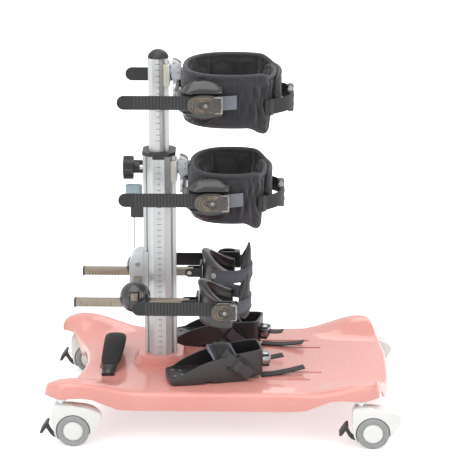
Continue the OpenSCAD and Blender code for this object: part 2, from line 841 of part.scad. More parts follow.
// The knuckle carries both arms below the quadrant
module support_knuckle(s) {
    color("silver") at_support(s) {
        across(neck_w) polygon([
            [saddle_front, 0],
            [arm_front, 0],
            [arm_front, saddle_h / 2],
            [sector_rear, pivot_rise - sector_low],
            [sector_low_front, pivot_rise - sector_low],
            [saddle_front, saddle_h / 2]
        ]);
        translate([saddle_front, 0, 0]) rotate([90, 0, 90]) linear_extrude(arm_front - saddle_front)
            slot_outline(saddle_w - saddle_h, saddle_h);
    }
}
// Half height of an arm at a share of its reach
function leaf(t) = arm_h / 2 * mix(arm_neck_share, 1, pow(sin(180 * pow(t, arm_peak_power)), 2));
module arm_plan() {
    bend = [arm_front + arm_bend, arm_bend - side_y];
    polygon(concat(
        [[arm_front, -part_gap]],
        arc(bend, arm_bend, 180, 270, arm_steps),
        [[arm_front + arm_reach, -side_y], [arm_front + arm_reach, arm_t - side_y]],
        arc(bend, arm_bend - arm_t, 270, 180, arm_steps),
        [[arm_front + arm_t, -part_gap]]
    ));
}
module arm_side() {
    xs = [for (i = [0 : arm_steps]) i / arm_steps];
    polygon(concat(
        [for (t = xs) [arm_front + t * arm_reach, min(leaf(t), lobe_low + lobe_lap)]],
        [for (i = [arm_steps : -1 : 0])
            [arm_front + xs[i] * arm_reach, -min(leaf(xs[i]), lobe_low + lobe_lap)]]
    ));
}
// Outer face of an arm's plate at a distance from its front
function arm_y(x) = x < arm_bend
    ? side_y - arm_bend + sqrt(arm_bend * arm_bend - (arm_bend - x) * (arm_bend - x))
    : side_y;
function lobe_ring(t) = let (
    x = t * arm_reach,
    inner = arm_y(x) - arm_t,
    proud = arm_y(x) + lobe_out * smooth((leaf(t) - lobe_low) / lobe_fade)
) concat(
    [[arm_front + x, -inner, lobe_low]],
    [for (i = [0 : lobe_rows]) let (s = i / lobe_rows) [
        arm_front + x,
        -mix(proud, inner + lobe_edge_t, pow(s, lobe_power)),
        mix(lobe_low, leaf(t), s)
    ]],
    [[arm_front + x, -inner, leaf(t)]]
);
module support_arm() {
    intersection() {
        translate([0, 0, -arm_h]) linear_extrude(2 * arm_h) arm_plan();
        across(2 * pad_w + arm_h) arm_side();
    }
    for (up = [0, 1])
        mirror([0, 0, up]) ring_solid([
            for (i = [lobe_steps : -1 : 0]) lobe_ring(mix(lobe_from_share, lobe_to_share, i / lobe_steps))
        ]);
}
module support_arms(s) {
    color("#262626") at_support(s) both_sides() {
        support_arm();
        translate([buckle_x, -side_y - part_gap, 0]) ratchet_base(lever_l);
    }
}

// Ratchet buckle on a flat face: the strap runs along X and -Y points outward
lever_l = 57;
knee_lever_l = 42;
lever_h = 32;
lever_t = 7;
lever_bevel = 2;
base_t = 2;
cheek_h = 29;
ratchet_cheek_t = 2.5;
pin_out = 10;
pin_d = 4;
pin_inset = 6;
pin_clear = 0.4;
eye_r = 3.6;
rivet_d = 9;
rivet_proud = 1;
dish_d = 17;
dish_t = 2.5;
base_front_share = 0.3;
lever_steps = 32;
lever_power = 0.75;

function pin_x(l) = l / 2 - pin_inset;
function oval(l, h) = [
    for (i = [0 : lever_steps - 1]) let (a = turn_angle * i / lever_steps, c = cos(a), s = sin(a))
        [sign(c) * pow(abs(c), lever_power) * l / 2, sign(s) * pow(abs(s), lever_power) * h / 2]
];
module ratchet_base(l) {
    translate([-l * base_front_share, -base_t, -cheek_h / 2])
        cube([l * (base_front_share + half_share), base_t, cheek_h]);
    for (z = [-cheek_h / 2, cheek_h / 2 - ratchet_cheek_t])
        translate([0, 0, z]) linear_extrude(ratchet_cheek_t) {
            translate([pin_x(l), -pin_out]) circle(r = eye_r);
            translate([pin_x(l) - eye_r, -pin_out]) square([2 * eye_r, pin_out]);
            translate([-l * base_front_share, -pin_out / 2])
                square([l * base_front_share + pin_x(l), pin_out / 2]);
        }
    translate([pin_x(l), -pin_out, -cheek_h / 2]) cylinder(d = pin_d, h = cheek_h);
}
module ratchet_lever(l) {
    low = pin_out + eye_r + pin_clear;
    inner_h = cheek_h - 2 * ratchet_cheek_t - 2 * slide_gap;
    color("#5b5348") difference() {
        union() {
            translate([0, -low, 0]) rotate([90, 0, 0]) {
                linear_extrude(lever_t - lever_bevel) polygon(oval(l, lever_h));
                translate([0, 0, lever_t - lever_bevel]) linear_extrude(lever_bevel)
                    polygon(oval(l - 2 * lever_bevel, lever_h - 2 * lever_bevel));
            }
            translate([pin_x(l), 0, 0]) {
                translate([0, -pin_out, -inner_h / 2]) cylinder(r = eye_r, h = inner_h);
                translate([-eye_r, -low - lever_t / 2, -inner_h / 2])
                    cube([2 * eye_r, low + lever_t / 2 - pin_out, inner_h]);
            }
        }
        translate([pin_x(l), -pin_out, 0]) cylinder(d = pin_d + 2 * run_gap, h = cheek_h, center = true);
        translate([0, -low - lever_t + dish_t, 0]) rotate([90, 0, 0]) difference() {
            cylinder(d = dish_d, h = dish_t + overrun);
            cylinder(d = rivet_d, h = dish_t + rivet_proud);
        }
    }
}

// Toothed strap: fine ribs on its outer face and a round tip
ladder_t = 3;
ladder_pitch = 5.4;
tooth_t = 1;
tooth_share = 0.55;
tab_l = 21;
tab_t = 3;
ladder_gap = 0.3;

module ladder(tip_x, end_x) {
    count = floor((end_x - tip_x) / ladder_pitch);
    face = base_t + ladder_gap;
    intersection() {
        translate([0, 0, -ladder_w / 2]) linear_extrude(ladder_w) polygon(concat(
            [[end_x, -face], [tip_x, -face]],
            [for (i = [0 : count - 1]) let (x = tip_x + i * ladder_pitch) each [
                [x, -face - ladder_t + tooth_t],
                [x, -face - ladder_t],
                [x + ladder_pitch * tooth_share, -face - ladder_t],
                [x + ladder_pitch * tooth_share, -face - ladder_t + tooth_t]
            ]],
            [[end_x, -face - ladder_t + tooth_t]]
        ));
        across(2 * (face + ladder_t) + overrun) union() {
            translate([tip_x + ladder_w / 2, 0]) circle(d = ladder_w);
            translate([tip_x + ladder_w / 2, -ladder_w / 2]) square([end_x - tip_x, ladder_w]);
        }
    }
}

ladder_tip_x = -62;
buckle_x = 64.5;
module support_lever(s, left) {
    side_of(left) at_support(s) translate([buckle_x, -side_y - part_gap, 0]) ratchet_lever(lever_l);
}
module support_ladders(s) {
    end_x = arm_front + arm_reach;
    pad_y = side_y + part_gap - pad_side(s, end_x + tab_l);
    color("#2d2d30") at_support(s) both_sides() translate([0, -side_y - part_gap, 0]) {
        ladder(ladder_tip_x - face_x(s), end_x);
        translate([0, 0, -ladder_w / 2]) linear_extrude(ladder_w) polygon([
            [end_x - tab_t, -base_t - ladder_gap],
            [end_x - tab_t, -base_t - ladder_gap - ladder_t + tooth_t],
            [end_x, -base_t - ladder_gap - ladder_t + tooth_t],
            [end_x + tab_l, pad_y - tab_t],
            [end_x + tab_l, pad_y],
            [end_x, -base_t - ladder_gap]
        ]);
    }
}

// Pads: a padded band round an oval, whose two thinner flaps lap at the rear
pad_gap = 2.5;
pad_power = 0.82;
pad_steps = 64;
pad_level_shares = [-1, -0.93, -0.82, -0.4, 0.1, 0.5, 0.84, 0.94, 1];
pad_swell_shares = [0.3, 0.62, 0.5, 0.9, 1, 0.9, 0.5, 0.62, 0.3];
pad_top_share = 0.48;
fold_depth = 1.4;
fold_count = 11;
seam_angles = [-118, -62, 62, 118];
seam_half = 5;
seam_share = 0.55;
pad_dip = 12;
pad_dip_angle = 128;
pad_dip_half = 24;
pad_end_rise = 20;
fold_from = 98;
fold_over = 20;
rise_after = 8;
rise_over = 14;
rim_from = 120;
rim_over = 30;
wrap_out_angle = 205;
wrap_in_angle = 225;
flap_from = 120;
flap_over = 25;
flap_share = 0.58;
tuck_from = 126;
tuck_over = 22;
lap_gap = 0.6;
flap_round = 18;
flap_corner = 22;

function pad_front(s) = arm_front + arm_t + pad_gap;
function pad_centre_x(s) = pad_front(s) + pad_l(s) / 2;
function pad_place(s, a, in) = [
    pad_centre_x(s) - (pad_l(s) / 2 - in) * sign(cos(a)) * pow(abs(cos(a)), pad_power),
    (pad_w / 2 - in) * sign(sin(a)) * pow(abs(sin(a)), pad_power)
];
function pad_side(s, x) = let (
    c = pow(abs(x - pad_centre_x(s)) / (pad_l(s) / 2), 1 / pad_power)
) pad_w / 2 * pow(1 - c * c, pad_power / 2);
function pad_normal(s, a) = let (
    d = pad_place(s, a + 1, pad_t / 2) - pad_place(s, a - 1, pad_t / 2),
    l = norm(d)
) [-d[1] / l, d[0] / l];
// The share of the pad's thickness left at an angle, and how far the left flap goes inside the right one
function flap(a) = mix(1, flap_share, smooth((abs(a) - flap_from) / flap_over));
function tuck(a) = a > 0 ? 0 : (pad_t * flap_share + lap_gap) * smooth((-a - tuck_from) / tuck_over);
function flap_end(a) = let (
    t = max(0, 1 - ((a > 0 ? wrap_out_angle : wrap_in_angle) - abs(a)) / flap_round)
) flap_corner * (1 - sqrt(max(0, 1 - t * t)));
function seam(a) = max([for (m = seam_angles) 1 - smooth(abs(a - m) / seam_half)]);
function fold(a, level) = fold_depth * sin(fold_count * a)
    * smooth((abs(a) - fold_from) / fold_over) * (1 - level * level);
function pad_low(s, a) = -pad_h(s) * (1 - pad_top_share)
    - pad_dip * (1 - smooth(abs(abs(a) - pad_dip_angle) / pad_dip_half))
    + pad_end_rise * smooth((abs(a) - pad_dip_angle - rise_after) / rise_over) + flap_end(a);
function pad_high(s, a) = pad_h(s) * pad_top_share
    - pad_end_rise * half_share * smooth((abs(a) - rim_from) / rim_over) - flap_end(a);
function pad_ring(s, a) = let (
    c = pad_place(s, a, pad_t / 2 + tuck(a)),
    n = pad_normal(s, a),
    squeeze = flap(a) * (1 - (1 - seam_share) * seam(a)),
    count = len(pad_level_shares),
    outer = [for (i = [0 : count - 1]) [pad_level_shares[i], pad_swell_shares[i]]],
    inner = [for (i = [count - 1 : -1 : 0]) [pad_level_shares[i], -pad_swell_shares[i]]]
) [for (p = concat(outer, inner)) let (
        z = mix(pad_low(s, a), pad_high(s, a), (p[0] + 1) / 2),
        out = p[1] * pad_t / 2 * squeeze - abs(fold(a, p[0]))
    ) [c[0] + n[0] * out, c[1] + n[1] * out, z]];
module support_pad(s) {
    color("#2b2a2e") at_support(s)
        ring_solid([for (i = [0 : pad_steps]) pad_ring(s, mix(-wrap_in_angle, wrap_out_angle, i / pad_steps))]);
}

// Rear strap: webbing sewn on both sides of the pad, and a side-release buckle behind the flaps
webbing_t = 2;
webbing_w = 25;
clip_w = 36;
clip_t = 12;
clip_l = 27;
clip_prong_l = 20;
clip_prong_w = 30;
clip_prong_t = 9;
strap_steps = 6;
strap_drop = 14;
strap_reach = 15;
strap_from = 126;

clip_angle = 180 - asin(pow((clip_l + part_gap) / (pad_w / 2 - pad_t / 2), 1 / pad_power));
function strap_lift(a) = pad_t / 2 * flap(a) + slide_gap + webbing_t / 2;
function webbing_ring(s, a) = let (
    c = pad_place(s, a, pad_t / 2),
    n = pad_normal(s, a),
    away = strap_lift(a) * (1 - smooth((abs(a) - strap_from) / (clip_angle - strap_from))),
    x = c[0] + (strap_reach + strap_lift(a)) * smooth((abs(a) - strap_from) / (clip_angle - strap_from)),
    z = -strap_drop
) [for (p = [[1, -1], [1, 1], [-1, 1], [-1, -1]]) let (out = away + p[0] * webbing_t / 2)
    [x + n[0] * out, c[1] + n[1] * out, z + p[1] * webbing_w / 2]];
module support_rear_strap(s) {
    clip_x = pad_place(s, clip_angle, pad_t / 2)[0] + strap_reach + strap_lift(clip_angle);
    color("#1f1f21") at_support(s) {
        both_sides() ring_solid([
            for (i = [0 : strap_steps])
                webbing_ring(s, mix(-clip_angle, -strap_from, i / strap_steps))
        ]);
        translate([clip_x, 0, -strap_drop]) {
            translate([0, -clip_l / 2, 0]) rotate([90, 0, 0]) linear_extrude(clip_l - part_gap, center = true)
                polygon(octagon(clip_t, clip_w, clip_t / 4));
            translate([0, clip_prong_l / 2, 0]) rotate([90, 0, 0])
                linear_extrude(clip_prong_l - part_gap, center = true)
                    polygon(octagon(clip_prong_t, clip_prong_w, clip_prong_t / 4));
            translate([0, (clip_l + clip_prong_l) / 2, 0]) rotate([90, 0, 0])
                linear_extrude(clip_l - clip_prong_l - part_gap, center = true)
                    polygon(octagon(clip_t, clip_w, clip_t / 4));
        }
    }
}

// Knee block: a casting clamped on the front rail, with the cross bar through it
block_t = 25;
block_w = 32;
block_low = 13;
block_high = 50;
block_round = 22;
block_bar_x = 11;
block_screw_d = 9;
block_screw_t = 1.5;
block_screw_z = 29;
bar_reach = 23;
bar_x = -lower_w / 2 - block_bar_x;

module knee_block() {
    at_column(knee_z) {
        color("silver") difference() {
            translate([-lower_w / 2, 0, 0]) {
                across(block_w) difference() {
                    union() {
                        translate([-block_t, -block_low])
                            square([block_t - slide_gap, block_low + block_high - block_round]);
                        translate([-block_t + block_round, block_high - block_round]) circle(r = block_round);
                        translate([-block_t + block_round, -block_low])
                            square([block_t - block_round - slide_gap, block_low + block_high]);
                    }
                    translate([-slide_gap, -block_low - overrun])
                        square([block_t, block_low + block_high + 2 * overrun]);
                }
                translate([0, 0, -block_low]) linear_extrude(block_low + block_high)
                    mirror([1, 0]) slider_section();
            }
            translate([bar_x, 0, 0])
                cube([rod_w + 2 * part_gap, block_w + overrun, rod_w + 2 * part_gap], center = true);
        }
        color("dimgray") both_sides()
            translate([bar_x, -block_w / 2 - part_gap, block_screw_z]) rotate([90, 0, 0])
                cylinder(d = block_screw_d, h = block_screw_t);
        color("tan") translate([bar_x, 0, 0])
            cube([rod_w, knee_spread + 2 * bar_reach, rod_w], center = true);
    }
}

// Ball clamp: the cross bar and the rod cross in it, one above the other
ball_drop = 7;
rod_drop = 17;
notch_w = 16;
notch_h = 30;
notch_t = 7;
rod_front = 99;
rod_reach = 84;
rod_wall = 1.5;
cap_t = 3;
cap_grow = 0.6;
fork_pin_d = 6;
fork_gap = 0.4;
fork_t = 3;
fork_h = 15;
fork_reach = 22;
fork_plate_t = 4;
fork_plate_h = 34;
fork_plate_w = 30;
fork_head_d = 9;
fork_head_t = 1.2;
fork_x = bar_x + rod_reach;
rod_y = knee_spread / 2;
rod_z = knee_z - rod_drop;

module at_knee(left) {
    side_of(left) at_column() translate([0, -rod_y, 0]) children();
}
module knee_ball(left) {
    way = rod_w + 2 * slide_gap;
    color("#303033") at_knee(left) difference() {
        translate([bar_x, 0, knee_z - ball_drop]) rotate([90, 0, 0]) sphere(d = ball_d);
        translate([bar_x, 0, knee_z]) cube([way, ball_d + overrun, way], center = true);
        translate([bar_x, 0, rod_z]) cube([ball_d + overrun, way, way], center = true);
        translate([bar_x, -ball_d / 2, knee_z - ball_drop])
            cube([notch_w, 2 * notch_t, notch_h], center = true);
    }
}
module knee_rod(left) {
    rod_l = rod_front + rod_reach + rod_w / 2;
    bore_w = rod_w - 2 * rod_wall;
    at_knee(left) translate([bar_x - rod_front, 0, rod_z]) {
        color("tan") difference() {
            translate([0, -rod_w / 2, -rod_w / 2]) cube([rod_l, rod_w, rod_w]);
            translate([-overrun, -bore_w / 2, -bore_w / 2]) cube([rod_l - 2 * rod_w, bore_w, bore_w]);
            translate([rod_front + rod_reach, 0, 0]) rotate([90, 0, 0])
                cylinder(d = fork_pin_d + 2 * run_gap, h = 2 * rod_w, center = true);
        }
        color("#262626") translate([-part_gap - cap_t, -rod_w / 2 - cap_grow, -rod_w / 2 - cap_grow])
            cube([cap_t, rod_w + 2 * cap_grow, rod_w + 2 * cap_grow]);
    }
}
// Fork: two cheeks and a pin on the rod's end, and a plate behind the cup
module knee_fork(left) {
    inner = rod_w + 2 * fork_gap;
    color("#262626") at_knee(left) translate([fork_x, 0, rod_z]) {
        both_sides() {
            translate([0, -inner / 2, 0]) rotate([90, 0, 0]) linear_extrude(fork_t) {
                circle(d = fork_h);
                translate([0, -fork_h / 2]) square([fork_reach, fork_h]);
            }
            translate([0, -inner / 2 - fork_t, 0]) rotate([90, 0, 0])
                cylinder(d = fork_head_d, h = fork_head_t);
        }
        rotate([90, 0, 0]) cylinder(d = fork_pin_d, h = inner, center = true);
        translate([fork_reach - fork_plate_t, -fork_plate_w / 2, -fork_plate_h / 2])
            cube([fork_plate_t, fork_plate_w, fork_plate_h]);
    }
}

// Cup: a moulded band with rolled rims, open to the rear
cup_front_r = 49.5;
cup_rear_r = 36.7;
cup_t = 13;
cup_angle = 104;
cup_low = 30;
cup_fall = 30;
cup_steps = 30;
cup_seat_share = 0.85;
cup_level_shares = [-1, -0.94, -0.78, -0.2, 0.5, 0.8, 0.95, 1];
cup_swell_shares = [0.3, 0.75, 0.85, 0.8, 0.72, 0.85, 1, 0.5];
calf_angle = 116;
calf_end_angle = 58;
calf_steps = 26;
calf_rise = 6;
calf_pad_t = 7;
calf_pad_h = 67;
calf_pad_rise = 9.5;
calf_pad_w = 74;
calf_pad_shares = [
    [-0.5, -0.34], [-0.36, -0.5], [0.36, -0.5], [0.5, -0.34], [0.48, 0.05], [0.26, 0.36],
    [0.1, 0.54], [-0.1, 0.54], [-0.26, 0.36], [-0.48, 0.05]
];
screw_d = 10;
screw_proud = 1.5;
knee_tip_x = -40;
knee_buckle_x = 112;

cup_x = fork_x + fork_reach + slide_gap + cup_front_r - cup_t / 2 * (1 - cup_seat_share);
function cup_place(a, grow) = [
    cup_x - ((cos(a) > 0 ? cup_front_r : cup_rear_r) + grow) * cos(a),
    (cup_w / 2 + grow) * sin(a)
];
function cup_normal(a, grow) = let (
    d = cup_place(a + 1, grow) - cup_place(a - 1, grow),
    l = norm(d)
) [-d[1] / l, d[0] / l];
function cup_ring(a) = let (
    c = cup_place(a, -cup_t / 2),
    n = cup_normal(a, -cup_t / 2),
    low = rod_z - cup_low,
    high = rod_z - cup_low + cup_h - cup_fall * smooth(abs(a) / cup_angle),
    count = len(cup_level_shares),
    outer = [for (i = [0 : count - 1]) [cup_level_shares[i], cup_swell_shares[i]]],
    inner = [for (i = [count - 1 : -1 : 0]) [cup_level_shares[i], -cup_swell_shares[i]]]
) [for (p = concat(outer, inner)) let (out = p[1] * cup_t / 2)
    [c[0] + n[0] * out, c[1] + n[1] * out, mix(low, high, (p[0] + 1) / 2)]];
module knee_cup(left) {
    color("#3a3a3d") at_knee(left)
        ring_solid([for (i = [0 : cup_steps]) cup_ring(mix(-cup_angle, cup_angle, i / cup_steps))]);
}
function calf_ring(a) = let (
    c = cup_place(a, slide_gap + webbing_t / 2),
    n = cup_normal(a, slide_gap + webbing_t / 2)
) [for (p = [[1, -1], [1, 1], [-1, 1], [-1, -1]]) [
    c[0] + n[0] * p[0] * webbing_t / 2,
    c[1] + n[1] * p[0] * webbing_t / 2,
    rod_z + calf_rise + p[1] * ladder_w / 2
]];
module knee_strap(left) {
    from = calf_end_angle - turn_angle;
    to = -calf_angle;
    screw = cup_place(calf_end_angle, 0);
    aim = cup_normal(calf_end_angle, 0);
    at_knee(left) {
        color("#55555a")
            ring_solid([for (i = [0 : calf_steps]) calf_ring(mix(from, to, i / calf_steps))]);
        color("silver") translate([screw[0], screw[1], rod_z + calf_rise])
            rotate([0, 90, atan2(aim[1], aim[0])]) translate([0, 0, slide_gap + webbing_t + part_gap])
                cylinder(d = screw_d, h = screw_proud);
        color("#2b2a2e") calf_pad();
        translate([0, -cup_w / 2 - slide_gap, rod_z + calf_rise]) {
            color("#262626") translate([knee_buckle_x, 0, 0]) ratchet_base(knee_lever_l);
            color("#2d2d30") ladder(knee_tip_x, knee_buckle_x + knee_lever_l / 2);
        }
    }
}
module calf_pad() {
    from = (turn_angle - calf_angle) / 2;
    angles = [for (i = [0 : calf_steps]) mix(from, turn_angle - from, i / calf_steps)];
    intersection() {
        translate([0, 0, rod_z + calf_rise - calf_pad_h]) linear_extrude(2 * calf_pad_h) polygon(concat(
            [for (a = angles) cup_place(a, -part_gap)],
            [for (i = [calf_steps : -1 : 0]) cup_place(angles[i], -calf_pad_t)]
        ));
        translate([cup_x, 0, rod_z + calf_rise + calf_pad_rise]) rotate([90, 0, 90])
            linear_extrude(2 * cup_rear_r)
                polygon(cut_corners(scaled(calf_pad_shares, calf_pad_w, calf_pad_h), 2));
    }
}
module knee_lever(left) {
    at_knee(left) translate([knee_buckle_x, -cup_w / 2 - slide_gap, rod_z + calf_rise])
        ratchet_lever(knee_lever_l);
}

// Sandals: a moulded shell on the deck, clamped through two slots, its toe turned out
sandal_toe_x = 12;
sandal_wall = 3.5;
sole_t = 11;
sandal_drain_l = 12;
sandal_drain_h = 3.5;
sandal_drain_share = 0.38;
sandal_plan_shares = [
    [0, 0.8], [0.045, 0.97], [0.2, 1], [0.5, 0.97], [0.9, 0.9], [0.98, 0.84], [1, 0.62]
];
sandal_side_shares = [
    [-0.05, 0], [1.05, 0], [1.05, 1], [0.92, 0.98], [0.75, 0.93], [0.58, 0.85], [0.42, 0.73],
    [0.27, 0.56], [0.15, 0.37], [0.08, 0.22], [-0.05, 0.21]
];
slot_w = 6.4;
slot_pitch = 33;
slot_front_x = 100;
slot_long_x = 272;
slot_short_x = 252;
slot_eye_x = 236;
slot_eye_l = 9;
slot_eye_y = 4;
clamp_x = 130;
clamp_bolt_d = 5;
clamp_head_d = 9;
clamp_head_h = 3;
clamp_plate_l = 34;
clamp_plate_w = 46;
clamp_plate_t = 4;

module at_sandal(left) {
    side_of(left) at_column() translate([clamp_x, -sandal_spread / 2, 0]) rotate(sandal_splay)
        translate([-clamp_x, 0, 0]) children();
}
module sandal_slots() {
    translate([0, -sandal_spread / 2, deck_top - deck_wall - overrun])
        linear_extrude(deck_wall + 2 * overrun) {
        for (s = [[-1, slot_short_x], [1, slot_long_x]])
            translate([(slot_front_x + s[1]) / 2, s[0] * slot_pitch / 2])
                slot_outline(s[1] - slot_front_x, slot_w);
        translate([slot_eye_x, slot_eye_y]) slot_outline(slot_eye_l, slot_w);
    }
}
function sandal_plan(l, w) = let (p = sandal_plan_shares, n = len(p)) cut_corners(concat(
    [for (i = [0 : n - 1]) [p[i][0] * l, p[i][1] * w / 2]],
    [for (i = [n - 1 : -1 : 0]) [p[i][0] * l, -p[i][1] * w / 2]]
), 1);
module clamp_bolts(gap, low, high) {
    for (side = [-1, 1]) translate([clamp_x, side * slot_pitch / 2, low])
        cylinder(d = clamp_bolt_d + 2 * gap, h = high - low);
}
module sandal_shell(left) {
    bottom = deck_top + slide_gap;
    color("#2a2a2c") at_sandal(left) difference() {
        intersection() {
            translate([sandal_toe_x, 0, bottom]) linear_extrude(heel_h)
                polygon(sandal_plan(sandal_l, sandal_w));
            translate([sandal_toe_x, 0, bottom]) across(2 * sandal_w)
                polygon(cut_corners(scaled(sandal_side_shares, sandal_l, heel_h), 1));
        }
        translate([sandal_toe_x + sandal_wall, 0, bottom + sole_t]) linear_extrude(heel_h)
            polygon(sandal_plan(sandal_l - 2 * sandal_wall, sandal_w - 2 * sandal_wall));
        translate([sandal_toe_x + sandal_l * sandal_drain_share, -sandal_w, bottom - overrun])
            cube([sandal_drain_l, 2 * sandal_w, sandal_drain_h + overrun]);
        clamp_bolts(run_gap, bottom - overrun, bottom + sole_t + overrun);
    }
}
// Straps: a padded ankle band, a tail from the heel buckle and one that lies on the deck
ankle_x_share = 0.6;
ankle_w_share = 0.9375;
ankle_power = 0.7;
ankle_edge_share = 0.33;
ankle_w = 40;
ankle_t = 7;
ankle_low = 20;
ankle_high = 48;
ankle_steps = 20;
ankle_lean = 14;
tail_l = 74;
tail_upper_l = 26;
tail_upper_lift = 3;
tail_w = 17;
tail_t = 2;
tail_lift = 9;
tail_steps = 8;
tail_gap = 0.6;
function ankle_ring(a) = let (
    b = sandal_w / 2 * ankle_w_share - sandal_wall - slide_gap - ankle_t / 2,
    y = b * cos(a),
    z = mix(ankle_low, ankle_high, pow(abs(sin(a)), ankle_power)),
    x = sandal_toe_x + sandal_l * ankle_x_share - ankle_lean * sin(a),
    n = [cos(a), sin(a)]
) [for (p = octagon(ankle_t, ankle_w, ankle_t * ankle_edge_share))
    [x + p[1], y + n[0] * p[0], z + n[1] * p[0]]];
function tail_ring(t, from, l, lift) = let (
    x = sandal_toe_x + sandal_l + from[0] + t * l,
    z = from[2] + lift * t * t
) [for (p = [[-1, 0], [1, 0], [1, 1], [-1, 1]]) [x, from[1] + p[0] * tail_w / 2, z + p[1] * tail_t]];
module sandal_straps(left) {
    bottom = deck_top + slide_gap;
    upper = [heel_buckle_t + 2 * part_gap, 0, heel_buckle_z + heel_buckle_h * half_share];
    lower = [part_gap, -tail_w / 2 - tail_gap, tail_gap];
    color("#232325") at_sandal(left) translate([0, 0, bottom]) {
        ring_solid([for (i = [0 : ankle_steps]) ankle_ring(mix(180, 0, i / ankle_steps))]);
        ring_solid([
            for (i = [0 : tail_steps]) tail_ring(i / tail_steps, upper, tail_upper_l, tail_upper_lift)
        ]);
        ring_solid([for (i = [0 : tail_steps]) tail_ring(i / tail_steps, lower, tail_l, tail_lift)]);
    }
}
// Metalwork: clamp bolts and plate, a strap slide on each side and the heel buckle
glide_l = 26;
glide_h = 30;
glide_t = 4;
glide_bar = 4;
glide_x_share = 0.735;
glide_z = 28;
glide_roll = 40;
glide_turn = 2;
glide_y_share = 0.943;
heel_buckle_t = 13;
heel_buckle_w = 24;
heel_buckle_h = 20;
heel_buckle_z = 17;
heel_roller_d = 7;
module sandal_hardware(left) {
    bottom = deck_top + slide_gap;
    plate_top = deck_top - deck_wall - slide_gap;
    color("silver") at_sandal(left) {
        clamp_bolts(0, plate_top - clamp_plate_t - clamp_head_h, bottom + sole_t + clamp_head_h / 2);
        for (side = [-1, 1]) translate([clamp_x, side * slot_pitch / 2, bottom + sole_t + part_gap])
            cylinder(d = clamp_head_d, h = clamp_head_h);
        translate([clamp_x - clamp_plate_l / 2, -clamp_plate_w / 2, plate_top - clamp_plate_t])
            cube([clamp_plate_l, clamp_plate_w, clamp_plate_t]);
        both_sides()
            translate([sandal_toe_x + sandal_l * glide_x_share, -sandal_w / 2 * glide_y_share, bottom + glide_z])
                rotate(glide_turn) rotate([90, glide_roll, 0]) linear_extrude(glide_t) difference() {
                    square([glide_l, glide_h], center = true);
                    square([glide_l - 2 * glide_bar, glide_h - 2 * glide_bar], center = true);
                }
        translate([sandal_toe_x + sandal_l + part_gap, 0, bottom + heel_buckle_z]) difference() {
            translate([0, -heel_buckle_w / 2, 0]) cube([heel_buckle_t, heel_buckle_w, heel_buckle_h]);
            translate([heel_buckle_t / 2, 0, heel_buckle_h / 2]) rotate([90, 0, 0])
                cylinder(d = heel_roller_d, h = heel_buckle_w + overrun, center = true);
        }
    }
}

base_deck();
column_foot();
lower_column();
column_collar();
tool_holder();
carry_handle();
castor_stems();
upper_column();
column_cap();
clamp_knob();
hex_key();
castor_at(true, true) castor_hood();  // castor_hood_front_left
castor_at(true, true) castor_wheels();  // castor_wheels_front_left
castor_at(true, true) brake_pedal();  // brake_pedal_front_left
castor_at(true, false) castor_hood();  // castor_hood_front_right
castor_at(true, false) castor_wheels();  // castor_wheels_front_right
castor_at(true, false) brake_pedal();  // brake_pedal_front_right
castor_at(false, true) castor_hood();  // castor_hood_rear_left
castor_at(false, true) castor_wheels();  // castor_wheels_rear_left
castor_at(false, true) brake_pedal();  // brake_pedal_rear_left
castor_at(false, false) castor_hood();  // castor_hood_rear_right
castor_at(false, false) castor_wheels();  // castor_wheels_rear_right
castor_at(false, false) brake_pedal();  // brake_pedal_rear_right
support_slider(chest);  // chest_slider
support_quadrant(chest);  // chest_quadrant
support_knuckle(chest);  // chest_knuckle
support_arms(chest);  // chest_arms
support_pad(chest);  // chest_pad
support_ladders(chest);  // chest_ladder_straps
support_lever(chest, true);  // chest_lever_left
support_lever(chest, false);  // chest_lever_right
support_rear_strap(chest);  // chest_rear_strap
support_slider(hip);  // hip_slider
support_quadrant(hip);  // hip_quadrant
support_knuckle(hip);  // hip_knuckle
support_arms(hip);  // hip_arms
support_pad(hip);  // hip_pad
support_ladders(hip);  // hip_ladder_straps
support_lever(hip, true);  // hip_lever_left
support_lever(hip, false);  // hip_lever_right
support_rear_strap(hip);  // hip_rear_strap
knee_block();
knee_ball(true);  // knee_ball_left
knee_rod(true);  // knee_rod_left
knee_fork(true);  // knee_fork_left
knee_cup(true);  // knee_cup_left
knee_strap(true);  // knee_strap_left
knee_lever(true);  // knee_lever_left
knee_ball(false);  // knee_ball_right
knee_rod(false);  // knee_rod_right
knee_fork(false);  // knee_fork_right
knee_cup(false);  // knee_cup_right
knee_strap(false);  // knee_strap_right
knee_lever(false);  // knee_lever_right
sandal_shell(true);  // sandal_shell_left
sandal_straps(true);  // sandal_straps_left
sandal_hardware(true);  // sandal_hardware_left
sandal_shell(false);  // sandal_shell_right
sandal_straps(false);  // sandal_straps_right
sandal_hardware(false);  // sandal_hardware_right
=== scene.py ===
import json
import math

import bmesh
import bpy
import numpy as np
from mathutils import Matrix, Vector

